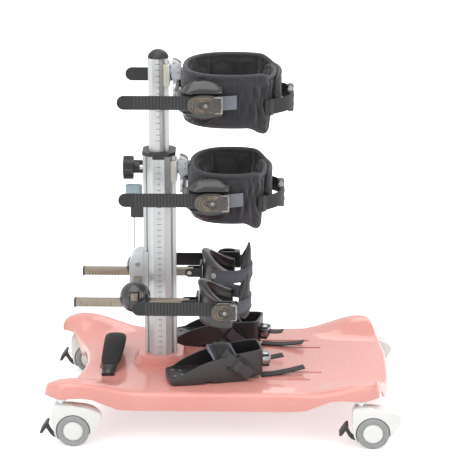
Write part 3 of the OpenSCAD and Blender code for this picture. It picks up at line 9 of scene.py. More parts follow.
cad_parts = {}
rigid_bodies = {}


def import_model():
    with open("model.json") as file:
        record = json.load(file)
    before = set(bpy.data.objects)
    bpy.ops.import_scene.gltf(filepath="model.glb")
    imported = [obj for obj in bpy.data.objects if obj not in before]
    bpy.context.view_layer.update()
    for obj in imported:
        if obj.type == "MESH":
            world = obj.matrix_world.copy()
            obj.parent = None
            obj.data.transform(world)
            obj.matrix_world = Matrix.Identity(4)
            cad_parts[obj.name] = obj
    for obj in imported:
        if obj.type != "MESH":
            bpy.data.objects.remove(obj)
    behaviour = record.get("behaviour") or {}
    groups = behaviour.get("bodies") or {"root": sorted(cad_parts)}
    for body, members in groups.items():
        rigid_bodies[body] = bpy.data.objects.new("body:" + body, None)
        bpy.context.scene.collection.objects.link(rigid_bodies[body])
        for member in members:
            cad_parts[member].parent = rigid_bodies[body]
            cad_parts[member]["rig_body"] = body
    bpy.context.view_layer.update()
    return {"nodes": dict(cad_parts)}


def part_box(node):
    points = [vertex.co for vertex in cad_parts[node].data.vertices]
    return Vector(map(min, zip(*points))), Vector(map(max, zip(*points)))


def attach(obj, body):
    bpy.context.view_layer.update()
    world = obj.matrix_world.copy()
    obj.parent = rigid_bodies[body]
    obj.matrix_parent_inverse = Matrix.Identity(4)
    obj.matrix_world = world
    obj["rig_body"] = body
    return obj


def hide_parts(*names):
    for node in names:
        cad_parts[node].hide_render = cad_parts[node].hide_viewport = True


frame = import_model()
nodes = frame["nodes"]
scene = bpy.context.scene
scene.view_settings.view_transform = "Standard"
mm = 0.001
upward = Vector((0, 0, 1))
signs = {"left": -1, "right": 1}  # the way Y goes on each side
supports = ("chest", "hip")
print("frame loaded:", len(nodes), "nodes")


# Camera and soft light

studio = {
    "azimuth": 1.34,  # degrees round from the frame's left side
    "elevation": 18.0,
    "distance": 3.433,
    "target": (0.0123, 0, 0.3221),
    "focal": 2032 / 460,  # focal length over the picture's width
    "sensor": 36,
    "clip": 100,
    "lamps": {  # place, height of the aim, size and power
        "topLamp": ((-0.3, -0.4, 2.6), 0.3, 2.4, 34),
        "keyLamp": ((-1.9, -2.2, 1.9), 0.3, 1.6, 22),
        "fillLamp": ((2.2, -1.6, 1.4), 0.3, 1.8, 17),
        "backLamp": ((0.6, 2.4, 2.4), 0.35, 1.6, 14),
    },
    "floorSize": 30,
    "floorColour": (0.8, 0.8, 0.8, 1),
    "floorLift": 0.55,  # what the camera sees added to the lit floor
    "floorFade": (0.45, 1.1),  # metres from the middle
    "skyLight": 0.62,
}


def add(name, data):
    obj = bpy.data.objects.new(name, data)
    scene.collection.objects.link(obj)
    return obj


def stand(data, spot, look):  # puts a camera or a lamp at a spot, turned the way it looks
    obj = add(data.name, data)
    obj.location = spot
    obj.rotation_euler = look.to_track_quat("-Z", "Y").to_euler()
    return obj


def makeCamera():
    turn, tilt = math.radians(studio["azimuth"]), math.radians(studio["elevation"])
    away = Vector((math.sin(turn) * math.cos(tilt), -math.cos(turn) * math.cos(tilt), math.sin(tilt)))
    lens = bpy.data.cameras.new("photoCamera")
    lens.sensor_width = studio["sensor"]
    lens.lens = studio["sensor"] * studio["focal"]
    lens.clip_end = studio["clip"]
    scene.camera = stand(lens, Vector(studio["target"]) + away * studio["distance"], -away)


def makeLamp(name, spot, aim, size, power):
    lamp = bpy.data.lights.new(name, "AREA")
    lamp.size = size
    lamp.energy = power
    stand(lamp, spot, Vector((0, 0, aim)) - Vector(spot))


makeCamera()
for name, lamp in studio["lamps"].items():
    makeLamp(name, *lamp)


# Shader helpers

class Wire:  # a node's output that takes part in sums
    def __init__(self, paint, socket):
        self.paint, self.socket = paint, socket

    def count(self, operation, first, second):
        return self.paint.node("ShaderNodeMath", {"operation": operation}, {0: first, 1: second})

    def __add__(self, other):
        return self.count("ADD", self, other)

    def __sub__(self, other):
        return self.count("SUBTRACT", self, other)

    def __rsub__(self, other):
        return self.count("SUBTRACT", other, self)

    def __mul__(self, other):
        return self.count("MULTIPLY", self, other)

    __radd__, __rmul__ = __add__, __mul__


class Paint:  # one material, or the sky: its shader, and the nodes that feed it
    def __init__(self, name, holder=None, shader="Principled BSDF", **fixed):
        self.material = holder or bpy.data.materials.new(name)
        self.material.use_nodes = True
        self.tree = self.material.node_tree
        self.shader = self.tree.nodes[shader]
        self.coords = self.node("ShaderNodeTexCoord", {}, {}, "Object")
        for socket, value in fixed.items():
            self.feed(self.shader.inputs[socket.replace("_", " ")], value)

    def feed(self, target, value):
        if isinstance(value, Wire):
            self.tree.links.new(value.socket, target)
        else:
            target.default_value = value

    def node(self, kind, settings, sockets, output=0):
        made = self.tree.nodes.new(kind)
        for key, value in settings.items():
            setattr(made, key, value)
        for key, value in sockets.items():
            self.feed(made.inputs[key], value)
        return Wire(self, made.outputs[output])

    def noise(self, scale, detail=3, stretch=(1, 1, 1)):
        place = self.node("ShaderNodeMapping", {}, {"Vector": self.coords, "Scale": stretch})
        return self.node("ShaderNodeTexNoise", {}, {"Vector": place, "Scale": scale, "Detail": detail})

    def cells(self, scale):
        return self.node("ShaderNodeTexVoronoi", {}, {"Vector": self.coords, "Scale": scale}, "Distance")

    def wave(self, value, pitch):
        return self.node("ShaderNodeMath", {"operation": "SINE"}, {0: value * (math.tau / pitch)})

    def ramp(self, value, low, high):
        sockets = {"Value": value, "From Min": low, "From Max": high}
        return self.node("ShaderNodeMapRange", {"clamp": True}, sockets)

    def mix(self, factor, first, second):
        return self.node("ShaderNodeMix", {"data_type": "RGBA"}, {0: factor, 6: first, 7: second}, 2)

    def threads(self):  # the two directions of the cloth, in metres
        weave = self.node("ShaderNodeAttribute", {"attribute_name": "weave"}, {}, "Vector")
        return [self.node("ShaderNodeSeparateXYZ", {}, {0: weave}, axis) for axis in "XY"]

    def seen(self):  # 0 for light on its way, or more for rays that the camera sees
        rays = ("Is Camera Ray", "Is Glossy Ray", "Is Transmission Ray")
        return sum(self.node("ShaderNodeLightPath", {}, {}, ray) for ray in rays)

    def bump(self, height, strength, depth):
        sockets = {"Strength": strength, "Distance": depth, "Height": height}
        self.feed(self.shader.inputs["Normal"], self.node("ShaderNodeBump", {}, sockets))

    def colour(self, value):
        self.feed(self.shader.inputs["Base Color"], value)

    def tones(self, value, low, high, span=(0.3, 0.7)):  # the colour goes from low to high over the span
        self.colour(self.mix(self.ramp(value, *span), shade(*low), shade(*high)))

    def rough(self, value):
        self.feed(self.shader.inputs["Roughness"], value)


def shade(red, green, blue):  # a screen colour of 0 to 255 as light
    return (*[((c / 255 + 0.055) / 1.055) ** 2.4 if c > 10 else c / 3295 for c in (red, green, blue)], 1)


# Finishes

def moulded(name, low, high, rough, grain=900, grainDepth=0.05 * mm, **fixed):
    paint = Paint(name, **fixed)
    cloud, fine = paint.noise(14, 4), paint.noise(grain, 2)
    specks = paint.ramp(paint.noise(grain / 3, 3), 0.52, 0.78)
    paint.tones(cloud, low, high)
    paint.rough(rough + cloud * 0.1 + specks * 0.08)
    paint.bump(fine + paint.cells(grain / 2) * 0.5, 0.6, grainDepth)
    return paint.material


def glossyMoulding(name, low, high, rough, wave, **fixed):
    paint = Paint(name, **fixed)
    scuff = paint.ramp(paint.noise(140, 5, (1, 0.3, 1)), 0.64, 0.8)
    paint.tones(paint.noise(6, 3), low, high)
    paint.rough(rough + scuff * 0.04 + paint.noise(420, 2) * 0.04)
    paint.bump(paint.noise(wave, 2), 0.15, 0.1 * mm)
    return paint.material


def drawnMetal(name, low, high, rough, stretch, grain=260, metal=1.0):  # lines run along the stretch
    paint = Paint(name, Metallic=metal)
    lines, cloud = paint.noise(grain, 4, stretch), paint.noise(9, 3)
    paint.tones(lines * 0.7 + cloud * 0.3, low, high)
    paint.rough(rough + lines * 0.12 + cloud * 0.06)
    paint.bump(lines, 0.25, 0.05 * mm)
    return paint.material


def castMetal(name, low, high, rough, metal):
    paint = Paint(name, Metallic=metal)
    sand = paint.noise(1100, 2)
    paint.tones(paint.noise(24, 4), low, high)
    paint.rough(rough + sand * 0.12)
    paint.bump(sand, 0.35, 0.06 * mm)
    return paint.material


def smokedPlastic(name, low, high, clear):
    paint = Paint(name, Coat_Weight=0.6, Coat_Roughness=0.05, Transmission_Weight=clear, IOR=1.46)
    cloud = paint.noise(60, 3)
    paint.tones(cloud, low, high, (0.35, 0.65))
    paint.rough(0.1 + cloud * 0.12)
    paint.bump(paint.noise(240, 2), 0.15, 0.1 * mm)
    return paint.material


def padCloth(name, low, high):  # a close twill that follows the sewn panels
    paint = Paint(name, Sheen_Weight=0.35, Sheen_Roughness=0.45)
    across, along = paint.threads()
    twill, thread = paint.wave(across + along, 1.5 * mm), paint.wave(across - along, 0.75 * mm)
    cloud, fuzz = paint.noise(30, 5), paint.noise(1600, 2)
    paint.tones(cloud * 0.55 + twill * 0.1 + fuzz * 0.35, low, high, (0.3, 0.66))
    paint.rough(0.78 + fuzz * 0.15)
    paint.bump(twill * 0.5 + thread * 0.25 + fuzz * 0.6, 0.45, 0.2 * mm)
    return paint.material


def wovenTape(name, low, high, pitch):  # webbing with ribs across it
    paint = Paint(name, Sheen_Weight=0.2, Sheen_Roughness=0.4)
    along, across = paint.threads()
    rib, cord = paint.wave(along, pitch), paint.wave(across, 1.6 * mm)
    fuzz = paint.noise(1400, 2)
    paint.tones(rib * cord * 0.25 + fuzz, low, high, (0.2, 0.8))
    paint.rough(0.66 + fuzz * 0.2)
    paint.bump(rib * cord + fuzz * 0.4, 0.6, 0.25 * mm)
    return paint.material


def plainPaint(name, colour, rough):  # printed ticks and thread, too small for more
    paint, light = Paint(name), shade(*colour)
    speck = paint.noise(700, 2)
    paint.colour(paint.mix(speck, light, tuple(c * 0.75 for c in light[:3]) + (1,)))
    paint.rough(rough + speck * 0.1)
    return paint.material


finish = {
    "deck": glossyMoulding("deckPink", (227, 151, 141), (233, 161, 151), 0.24, 70,
        Specular_IOR_Level=0.38, Coat_Weight=0.6, Coat_Roughness=0.04),
    "aluminium": drawnMetal("satinAluminium", (188, 190, 191), (208, 210, 211), 0.34, (1, 1, 0.02),
        metal=0.5),
    "tick": plainPaint("printedTick", (96, 96, 98), 0.5),
    "digit": plainPaint("printedDigit", (44, 44, 46), 0.5),
    "black": moulded("satinBlack", (24, 23, 25), (32, 31, 33), 0.34),
    "gloss": moulded("glossBlack", (48, 47, 50), (58, 57, 60), 0.2, 500, 0.02 * mm,
        Coat_Weight=0.4, Coat_Roughness=0.12),
    "arm": moulded("armBlack", (30, 30, 33), (38, 38, 41), 0.22, 700, 0.02 * mm,
        Coat_Weight=0.5, Coat_Roughness=0.16),
    "steel": drawnMetal("brightSteel", (186, 188, 190), (212, 213, 214), 0.2, (1, 0.1, 1), 400),
    "chrome": drawnMetal("buckleChrome", (118, 119, 122), (172, 173, 176), 0.08, (1, 1, 1), 120),
    "plate": drawnMetal("zincPlate", (112, 114, 117), (146, 148, 150), 0.34, (0.2, 1, 1), 180),
    "hood": glossyMoulding("hoodWhite", (232, 232, 228), (240, 240, 236), 0.28, 60,
        Coat_Weight=0.3, Coat_Roughness=0.15),
    "hub": glossyMoulding("hubWhite", (234, 235, 230), (242, 243, 239), 0.3, 50,
        Coat_Weight=0.2, Coat_Roughness=0.2),
    "tyre": moulded("tyreGrey", (150, 152, 152), (166, 168, 167), 0.55, 1200, 0.08 * mm),
    "pedal": moulded("pedalBlack", (44, 42, 42), (56, 54, 53), 0.42),
    "cream": moulded("sliderCream", (208, 202, 184), (220, 214, 197), 0.4, 800),
    "bracket": castMetal("bracketSilver", (188, 191, 194), (208, 211, 214), 0.36, 0.55),
    "pad": padCloth("padCloth", (32, 30, 34), (58, 55, 60)),
    "lining": padCloth("padLining", (22, 21, 23), (40, 38, 41)),
    "binding": wovenTape("bindingTape", (46, 44, 50), (76, 73, 80), 1.2 * mm),
    "thread": plainPaint("sewingThread", (66, 64, 70), 0.7),
    "edging": wovenTape("edgingTape", (96, 103, 118), (134, 142, 158), 1.4 * mm),
    "ribbedTape": wovenTape("ribbedTape", (46, 45, 48), (84, 82, 86), 3.2 * mm),
    "calfTape": wovenTape("calfTape", (74, 76, 84), (104, 107, 117), 1.8 * mm),
    "tab": moulded("tabGrey", (104, 107, 116), (120, 123, 132), 0.42, 800),
    "strap": moulded("strapBlack", (22, 22, 24), (30, 30, 32), 0.4, 800),
    # the ladder and knee strap teeth: the same black plastic painted lighter, a painted highlight along the
    # ribs
    "rib": moulded("strapRibPaintedHighlight", (42, 42, 45), (54, 54, 57), 0.34, 800),
    "lever": smokedPlastic("smokedLever", (20, 16, 12), (58, 46, 32), 0.12),
    # the lever's ridges: the same smoked plastic painted lighter, a painted highlight
    "ridge": smokedPlastic("leverRidgePaintedHighlight", (84, 68, 46), (150, 128, 96), 0.1),
    "clear": smokedPlastic("clearYoke", (150, 148, 142), (206, 204, 198), 0.45),
    "webbing": wovenTape("blackWebbing", (30, 29, 31), (50, 48, 51), 2.2 * mm),
    "rod": drawnMetal("champagneRod", (130, 120, 106), (156, 145, 131), 0.34, (0.02, 1, 1), metal=0.7),
    "cup": moulded("cupGrey", (46, 43, 45), (60, 57, 59), 0.28, 600, 0.07 * mm,
        Coat_Weight=0.3, Coat_Roughness=0.2),
    "foam": moulded("foamBlack", (22, 21, 22), (34, 33, 34), 0.7, 700, 0.25 * mm),
    "sandal": moulded("sandalBlack", (36, 33, 34), (50, 47, 47), 0.32, 850, 0.07 * mm,
        Coat_Weight=0.15, Coat_Roughness=0.25),
    "grip": moulded("keyGrip", (146, 166, 175), (164, 183, 191), 0.4),
}
print("finishes mixed:", len(finish))


# Mesh helpers

def setSmooth(bm, angle):
    for face in bm.faces:
        face.smooth = True
    for edge in bm.edges:
        edge.smooth = edge.calc_face_angle(math.pi) < math.radians(angle)


def newPiece(name, bm, node, *paints, angle=35):  # rides with the node's body and has its slot
    setSmooth(bm, angle)
    mesh = bpy.data.meshes.new(name)
    bm.to_mesh(mesh)
    bm.free()
    for paint in paints:
        mesh.materials.append(finish[paint])
    obj = add(name, mesh)
    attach(obj, nodes[node]["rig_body"])
    return obj


def islands(bm):  # the faces of each separate solid
    left = set(bm.faces)
    while left:
        seed = left.pop()
        group, front = [seed], [seed]
        while front:
            for edge in front.pop().edges:
                for face in edge.link_faces:
                    if face in left:
                        left.remove(face)
                        group.append(face)
                        front.append(face)
        yield group


def boxOf(faces):
    points = np.array([v.co for face in faces for v in face.verts])
    return Vector(points.min(0)), Vector(points.max(0))


def dress(node, *paints, pick=None, tint=None, cut=None, edge=0.5, angle=34):
    # a copy of the solid with its edges eased; pick gives each separate solid its finish, tint each face,
    # and cut is a place along X where the finish changes
    bm = bmesh.new()
    bm.from_mesh(nodes[node].data)
    bmesh.ops.remove_doubles(bm, verts=bm.verts, dist=0.002 * mm)
    bmesh.ops.dissolve_limit(bm, angle_limit=math.radians(0.4), verts=bm.verts, edges=bm.edges)
    if cut is not None:
        every = [*bm.verts, *bm.edges, *bm.faces]
        bmesh.ops.bisect_plane(bm, geom=every, plane_co=(cut, 0, 0), plane_no=(1, 0, 0))
    for group in list(islands(bm)):
        choice = pick(*boxOf(group)) if pick else 0
        if choice is None:
            bmesh.ops.delete(bm, geom=group, context="FACES")
        else:
            for face in group:
                tone = tint(face.calc_center_median()) if tint else None
                face.material_index = choice if tone is None else tone
    obj = newPiece(node + "_dressed", bm, node, *paints, angle=angle)
    if edge:
        ease = obj.modifiers.new("eased", "BEVEL")
        ease.width, ease.segments = edge * mm, 2
        ease.limit_method, ease.angle_limit = "ANGLE", math.radians(angle)
        ease.use_clamp_overlap, ease.harden_normals = False, True
    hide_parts(node)


def bySize(*limits):  # picks the first limit, an axis and mm, that a solid is longer than
    def pick(low, high):
        for i, (axis, limit) in enumerate(limits):
            if getattr(high - low, axis) > limit * mm:
                return i
        return len(limits)

    return pick


# Rigid pieces that keep their solid's shape

split = {  # metres that tell the solids or faces of one node apart
    "bushTop": 0.3, "clampTop": 0.086, "calfWide": 0.05, "screwLong": 0.02,
    "creamEnd": {"chest": -0.0905, "hip": -0.0801},
    "tabFrom": {"chest": 0.0, "hip": 0.0105}, "teethFace": 0.1003, "teethFrom": -0.142,
    "kneeTeethFace": 0.1303, "kneeTeethFrom": -0.125,
}


def kneeStrapSolid(low, high):  # a sewn pad takes the place of the widest solid
    return None if high.y - low.y > split["calfWide"] else int(high.x - low.x < split["screwLong"])


# the knee strap's tooth faces take the lighter paint, a painted highlight on the same plastic
def kneeTeethPaintedHighlight(spot):
    return 2 if abs(spot.y) > split["kneeTeethFace"] and split["kneeTeethFrom"] < spot.x < 0 else None


dress("base_deck", "deck", edge=0, angle=46)
dress("column_foot", "plate", edge=0.4)
dress("lower_column", "aluminium")
dress("upper_column", "aluminium", "black", pick=lambda low, high: int(high.z < split["bushTop"]))
dress("column_collar", "black", edge=0.3)
dress("column_cap", "black", edge=0.4)
dress("tool_holder", "black", edge=0.4)
dress("carry_handle", "black", "steel", pick=bySize(("x", 20)), edge=0, angle=60)
dress("castor_stems", "steel", edge=0.3)
dress("clamp_knob", "black", "steel", pick=bySize(("z", 20)), edge=0, angle=40)
dress("hex_key", "grip", "steel", pick=bySize(("x", 10)), edge=1.2)
for end in ("front", "rear"):
    for side in signs:
        tag = f"_{end}_{side}"
        dress("castor_hood" + tag, "hood", edge=0.7, angle=40)
        dress("castor_wheels" + tag, "tyre", "hub", "steel", pick=bySize(("x", 50), ("x", 20)), edge=0.6)
        dress("brake_pedal" + tag, "pedal", edge=0.6, angle=40)
for part in supports:
    creamEnd, tabFrom = split["creamEnd"][part], split["tabFrom"][part]
    dress(part + "_slider", "cream", "bracket", edge=0.4, cut=creamEnd,
          tint=lambda spot: int(spot.x > creamEnd))
    dress(part + "_quadrant", "bracket", edge=0.3)
    dress(part + "_knuckle", "bracket", edge=0.8)
    dress(part + "_arms", "arm", edge=0, angle=50)
    # the tooth faces take the lighter paint, a painted highlight; the end tabs are grey
    dress(part + "_ladder_straps", "strap", "tab", "rib", edge=0.2, tint=lambda spot: (
        1 if spot.x > tabFrom else
        2 if abs(spot.y) > split["teethFace"] and spot.x > split["teethFrom"] else 0))
    for side in signs:
        dress(f"{part}_lever_{side}", "lever")
dress("knee_block", "rod", "bracket", "steel", pick=bySize(("y", 100), ("z", 30)), edge=0.6)
for side in signs:
    dress("knee_ball_" + side, "gloss")
    dress("knee_rod_" + side, "rod", "black", pick=bySize(("x", 50)), edge=0.4)
    dress("knee_fork_" + side, "black")
    dress("knee_lever_" + side, "lever")
    dress("sandal_shell_" + side, "sandal", edge=1.1)
    dress("sandal_hardware_" + side, "black", "plate", edge=0.4,
          pick=lambda low, high: int(low.z < split["clampTop"]))
    dress("knee_strap_" + side, "strap", "steel", "rib", pick=kneeStrapSolid, tint=kneeTeethPaintedHighlight, edge=0.2)
print("solids dressed")


# Soft goods: helpers

filling = {
    "frames": 20, "slack": 0.03, "sewn": 0.05,  # a point with less freedom than this, in mm, is held
    "settings": {"quality": 5, "mass": 0.2, "bending_stiffness": 0.3, "vertex_group_mass": "sewn",
                 "use_pressure": True, "uniform_pressure_force": 4.0},
}


def smoothStep(t):
    t = min(1, max(0, t))
    return t * t * (3 - 2 * t)


def grown(value, start, length):  # 0 up to the start, then smoothly up to 1 over the length
    return smoothStep((value - start) / length)


def between(first, second, share):
    return first + (second - first) * share


def cosSin(degrees):
    return math.cos(math.radians(degrees)), math.sin(math.radians(degrees))


def bent(value, power):  # a power that keeps the sign
    return math.copysign(abs(value) ** power, value)


def dome(share, power):  # 1 in the middle, and 0 at a share of -1 or 1
    return math.sqrt(max(0, 1 - abs(share) ** power))


def wallStep(j, steps):  # the step up a double wall, and 1 outside or -1 inside
    return (j, 1) if j <= steps else (2 * steps - j, -1)


def sweep(columns, rows, place, cap=True):
    # a grid whose corners are placed one by one; place gives a spot, its threads and its freedom, all in mm
    bm = bmesh.new()
    bmesh.ops.create_grid(bm, x_segments=columns, y_segments=rows, size=0.5)
    weave = bm.verts.layers.float_vector.new("weave")
    freedom = bm.verts.layers.float.new("freedom")
    for corner in bm.verts:
        spot, threads, free = place(round((corner.co.x + 0.5) * columns), round((corner.co.y + 0.5) * rows))
        corner[weave] = Vector((*threads, 0)) * mm
        corner[freedom] = free * mm
        corner.co = Vector(spot) * mm
    bmesh.ops.remove_doubles(bm, verts=bm.verts, dist=0.001 * mm)
    if cap:
        bmesh.ops.holes_fill(bm, edges=[edge for edge in bm.edges if edge.is_boundary])
    bmesh.ops.recalc_face_normals(bm, faces=bm.faces)
    return bm


def inflate(bm, slack=filling["slack"]):
    # the cloth fills with air while its sewn rows hold, and no point goes further than its freedom
    freedom = bm.verts.layers.float["freedom"]
    limits = [corner[freedom] for corner in bm.verts]
    mesh = bpy.data.meshes.new("clothTrial")
    bm.to_mesh(mesh)
    trial = add("clothTrial", mesh)
    sewn = trial.vertex_groups.new(name="sewn")
    sewn.add([i for i, most in enumerate(limits) if most < filling["sewn"] * mm], 1.0, "REPLACE")
    cloth = trial.modifiers.new("fill", "CLOTH")
    for key, value in filling["settings"].items():
        setattr(cloth.settings, key, value)
    cloth.settings.shrink_min = -slack
    cloth.settings.effector_weights.gravity = 0
    cloth.collision_settings.use_collision = False
    cloth.point_cache.frame_start, cloth.point_cache.frame_end = 1, filling["frames"]
    for step in range(1, filling["frames"] + 1):
        scene.frame_set(step)
    filled = trial.evaluated_get(bpy.context.evaluated_depsgraph_get()).data
    for corner, end, most in zip(bm.verts, filled.vertices, limits):
        move = end.co - corner.co
        corner.co += move * min(1, most / max(move.length, 1e-9))
    scene.frame_set(1)
    bpy.data.objects.remove(trial)
    bpy.data.meshes.remove(mesh)


def roundSection(width, thick, count, power):  # a flat loop of points across and out, with rounded edges
    points = []
    for i in range(count):
        turn = math.tau * i / count
        across, out = bent(math.cos(turn), 2 / power), bent(math.sin(turn), 2 / power)
        points.append((across * width / 2, out * thick / 2))
    return points


def runOf(path):  # the length along a path up to each of its spots
    run = [0]
    for first, second in zip(path, path[1:]):
        run.append(run[-1] + (second[0] - first[0]).length)
    return run


def tape(path, width, thick, name, node, paint, count=14, power=7):
    # webbing along a path of (spot, out, up) in mm
    section, run = roundSection(width, thick, count, power), runOf(path)

    def place(i, j):
        spot, out, up = path[i]
        across, lift = section[j % count]
        return spot + up * across + out * lift, (run[i], across), 0

    return newPiece(name, sweep(len(path) - 1, count, place), node, paint, angle=50)


def ringTube(path, halfOut, halfUp, name, node, steps=10):
    # a closed bead of binding along a path of (spot, out) in mm
    count, run = len(path), runOf(path + path[:1])

    def place(i, j):
        spot, out = path[i % count]
        along = (path[(i + 1) % count][0] - path[i % count - 1][0]).normalized()
        up = along.cross(out).normalized()
        turn = math.tau * j / steps
        spot = spot + out * (math.cos(turn) * halfOut) + up * (math.sin(turn) * halfUp)
        return spot, (run[i], turn * halfUp), 0

    newPiece(name, sweep(count, steps, place, cap=False), node, "binding", angle=60)


def stitchRow(bm, path, pitch=3.4, length=2.3, width=0.6):  # short thread ends laid along (spot, out) in mm
    run = 0
    for (first, out), (second, _) in zip(path, path[1:]):
        gap = (second - first).length
        while run < gap:
            along = (second - first).normalized()
            side = along.cross(out).normalized()
            spot = first + along * run + out * (width * 0.2)
            turn = Matrix((along, side, out)).transposed().to_4x4()
            shape = Matrix.Diagonal((length * mm, width * mm, width * mm, 1))
            bmesh.ops.create_cube(bm, size=1, matrix=Matrix.Translation(spot * mm) @ turn @ shape)
            run += pitch
        run -= gap


def easeEdges(bm, edges, ease, segments):
    bmesh.ops.bevel(bm, geom=list(edges), offset=ease * mm, segments=segments, profile=0.5, affect="EDGES",
                    material=-1)


def block(bm, centre, size, ease=0.6, segments=2, turn=Matrix()):  # a box with eased edges, in mm
    place = Matrix.Translation(Vector(centre) * mm) @ turn @ Matrix.Diagonal((*(Vector(size) * mm), 1))
    made = bmesh.ops.create_cube(bm, size=1, matrix=place)
    easeEdges(bm, {edge for corner in made["verts"] for edge in corner.link_edges}, ease, segments)


def disc(bm, centre, radius, height, axis, ease=0.4, count=28):  # a short round with an eased rim, in mm
    turn = upward.rotation_difference(Vector(axis)).to_matrix().to_4x4()
    place = Matrix.Translation((Vector(centre) + Vector(axis) * (height / 2)) * mm) @ turn
    made = bmesh.ops.create_cone(bm, cap_ends=True, segments=count, radius1=radius * mm, radius2=radius * mm,
                                 depth=height * mm, matrix=place)
    edges = {edge for corner in made["verts"] for edge in corner.link_edges}
    easeEdges(bm, [e for e in edges if len(e.link_faces) == 2 and e.calc_face_angle(0) > 1], ease, 2)


def subdivide(obj):
    more = obj.modifiers.new("smoother", "SUBSURF")
    more.levels = more.render_levels = 1


# Chest and hip pads: a closed band whose flaps lap at the rear

band = {  # mm, and degrees round from the front; pairs say where a change starts and how far it goes on
    "width": 180, "thick": 13, "power": 0.82, "front": 21.5, "topShare": 0.48,
    "outerEnd": 205, "innerEnd": -225, "stations": 216, "wallSteps": 20, "threadRadius": 84,
    "flap": 0.58, "flapFrom": (120, 25), "tuckGap": 0.6, "tuckFrom": (126, 22),
    "cornerArc": 18, "cornerCut": 22, "dip": 12, "dipAt": 128, "dipHalf": 24,
    "rise": 20, "riseFrom": (136, 14), "fall": 10, "fallFrom": (120, 30),
    "pinches": (-118, -62, 62, 118), "pinch": 0.42, "pinchHalf": 5, "groove": 0.4, "grooveHalf": 2.6,
    "fold": 2.1, "folds": 11, "foldFrom": (98, 20), "ripple": (0.45, 27, 2.5),  # share, count and lean
    "rim": 0.3, "crown": 0.7, "row": (0.3, 0.809, 0.06),  # depth, middle and half width
    "freedom": 4.0, "leastFree": 0.2, "armFree": 0.8, "freeTo": (138, 18), "slack": 0.06,
    "frontGap": 0.4, "armEnd": 30, "armFace": 89.9,
    "binding": (3.7, 3.4), "bindingSink": 0.8, "bindingSteps": 300, "endSteps": 12,
    "stitchStep": 4, "plainEnd": 4, "seamStitch": (2.2, 0.78, 24, 0.15),  # shift, top, steps and lift
    "creases": (  # degrees, slant over the height, width, depth, and the height of the middle
        (99, 5, 1.9, 2.6, -0.1), (104, -9, 2.2, 3.4, 0.1), (110, 8, 2.4, 3.0, -0.3), (115, -5, 2.0, 3.6, 0.3),
        (121, 7, 2.6, 3.2, -0.1), (128, -6, 2.6, 3.6, 0.0), (136, 6, 2.4, 2.6, 0.2),
    ),
    "creaseReach": 0.75, "creaseTop": 0.98, "ridge": 0.45, "ridgeAt": 1.9,
}
padHalf = band["thick"] / 2
padSizes = {
    "chest": {"x": -89.5, "z": 568, "length": 169, "height": 84, "seam": 94},
    "hip": {"x": -79.0, "z": 404, "length": 144, "height": 80, "seam": 97},
}


class PadForm:  # where a point of the band lies, in mm
    def __init__(self, x, z, length, height, seam):
        self.x, self.z, self.length, self.height, self.seam = x, z, length, height, seam
        self.centre = band["front"] + length / 2

    def place(self, a, inset):
        c, s = (bent(value, band["power"]) for value in cosSin(a))
        x = self.x + self.centre - (self.length / 2 - inset) * c
        return Vector((x, (band["width"] / 2 - inset) * s, self.z))

    def normal(self, a):
        d = self.place(a + 1, padHalf) - self.place(a - 1, padHalf)
        return Vector((-d.y, d.x, 0)).normalized()

    def flap(self, a):
        return between(1, band["flap"], grown(abs(a), *band["flapFrom"]))

    def tuck(self, a):
        depth = band["thick"] * band["flap"] + band["tuckGap"]
        return 0 if a > 0 else depth * grown(-a, *band["tuckFrom"])

    def corner(self, a):
        end = band["outerEnd"] if a > 0 else -band["innerEnd"]
        return band["cornerCut"] * (1 - dome(max(0, 1 - (end - abs(a)) / band["cornerArc"]), 2))

    def low(self, a):
        dip = band["dip"] * (1 - smoothStep(abs(abs(a) - band["dipAt"]) / band["dipHalf"]))
        rise = band["rise"] * grown(abs(a), *band["riseFrom"])
        return self.corner(a) - self.height * (1 - band["topShare"]) - dip + rise

    def high(self, a):
        fall = band["fall"] * grown(abs(a), *band["fallFrom"])
        return self.height * band["topShare"] - fall - self.corner(a)

    def squeeze(self, a):
        pinch = max(1 - smoothStep(abs(a - middle) / band["pinchHalf"]) for middle in band["pinches"])
        groove = 1 - smoothStep(abs(abs(a) - self.seam) / band["grooveHalf"])
        return self.flap(a) * (1 - band["pinch"] * pinch) * (1 - band["groove"] * groove)

    def fold(self, a, level):
        t = math.radians(a)
        share, count, lean = band["ripple"]
        wave = math.sin(band["folds"] * t) + share * math.sin(count * t + lean * level)
        return abs(band["fold"] * wave) * grown(abs(a), *band["foldFrom"]) * (1 - level * level)

    def crease(self, a, level):  # pulled-in cloth with a ridge on either side
        total = 0
        for middle, slant, width, depth, height in band["creases"]:
            off = abs(abs(a) - middle - slant * level) / width
            reach = max(0, 1 - ((level - height) / band["creaseReach"]) ** 2)
            ridge = band["ridge"] * math.exp(-((off - band["ridgeAt"]) ** 2))
            total += depth * reach * (math.exp(-off * off) - ridge)
        return total

    def swell(self, level):
        depth, middle, half = band["row"]
        row = depth * math.exp(-(((abs(level) - middle) / half) ** 2))
        return band["rim"] + band["crown"] * dome(level, 4) - row

    def spot(self, a, level, side, proud=0):  # side is 1 on the outer wall, -1 inside and 0 between
        out = side * (self.swell(level) * padHalf * self.squeeze(a) + proud) - self.fold(a, level)
        centre = self.place(a, padHalf + self.tuck(a)) + self.normal(a) * out
        centre.z += between(self.low(a), self.high(a), (level + 1) / 2)
        return centre


def padAngles(count):
    return [between(band["innerEnd"], band["outerEnd"], i / count) for i in range(count + 1)]


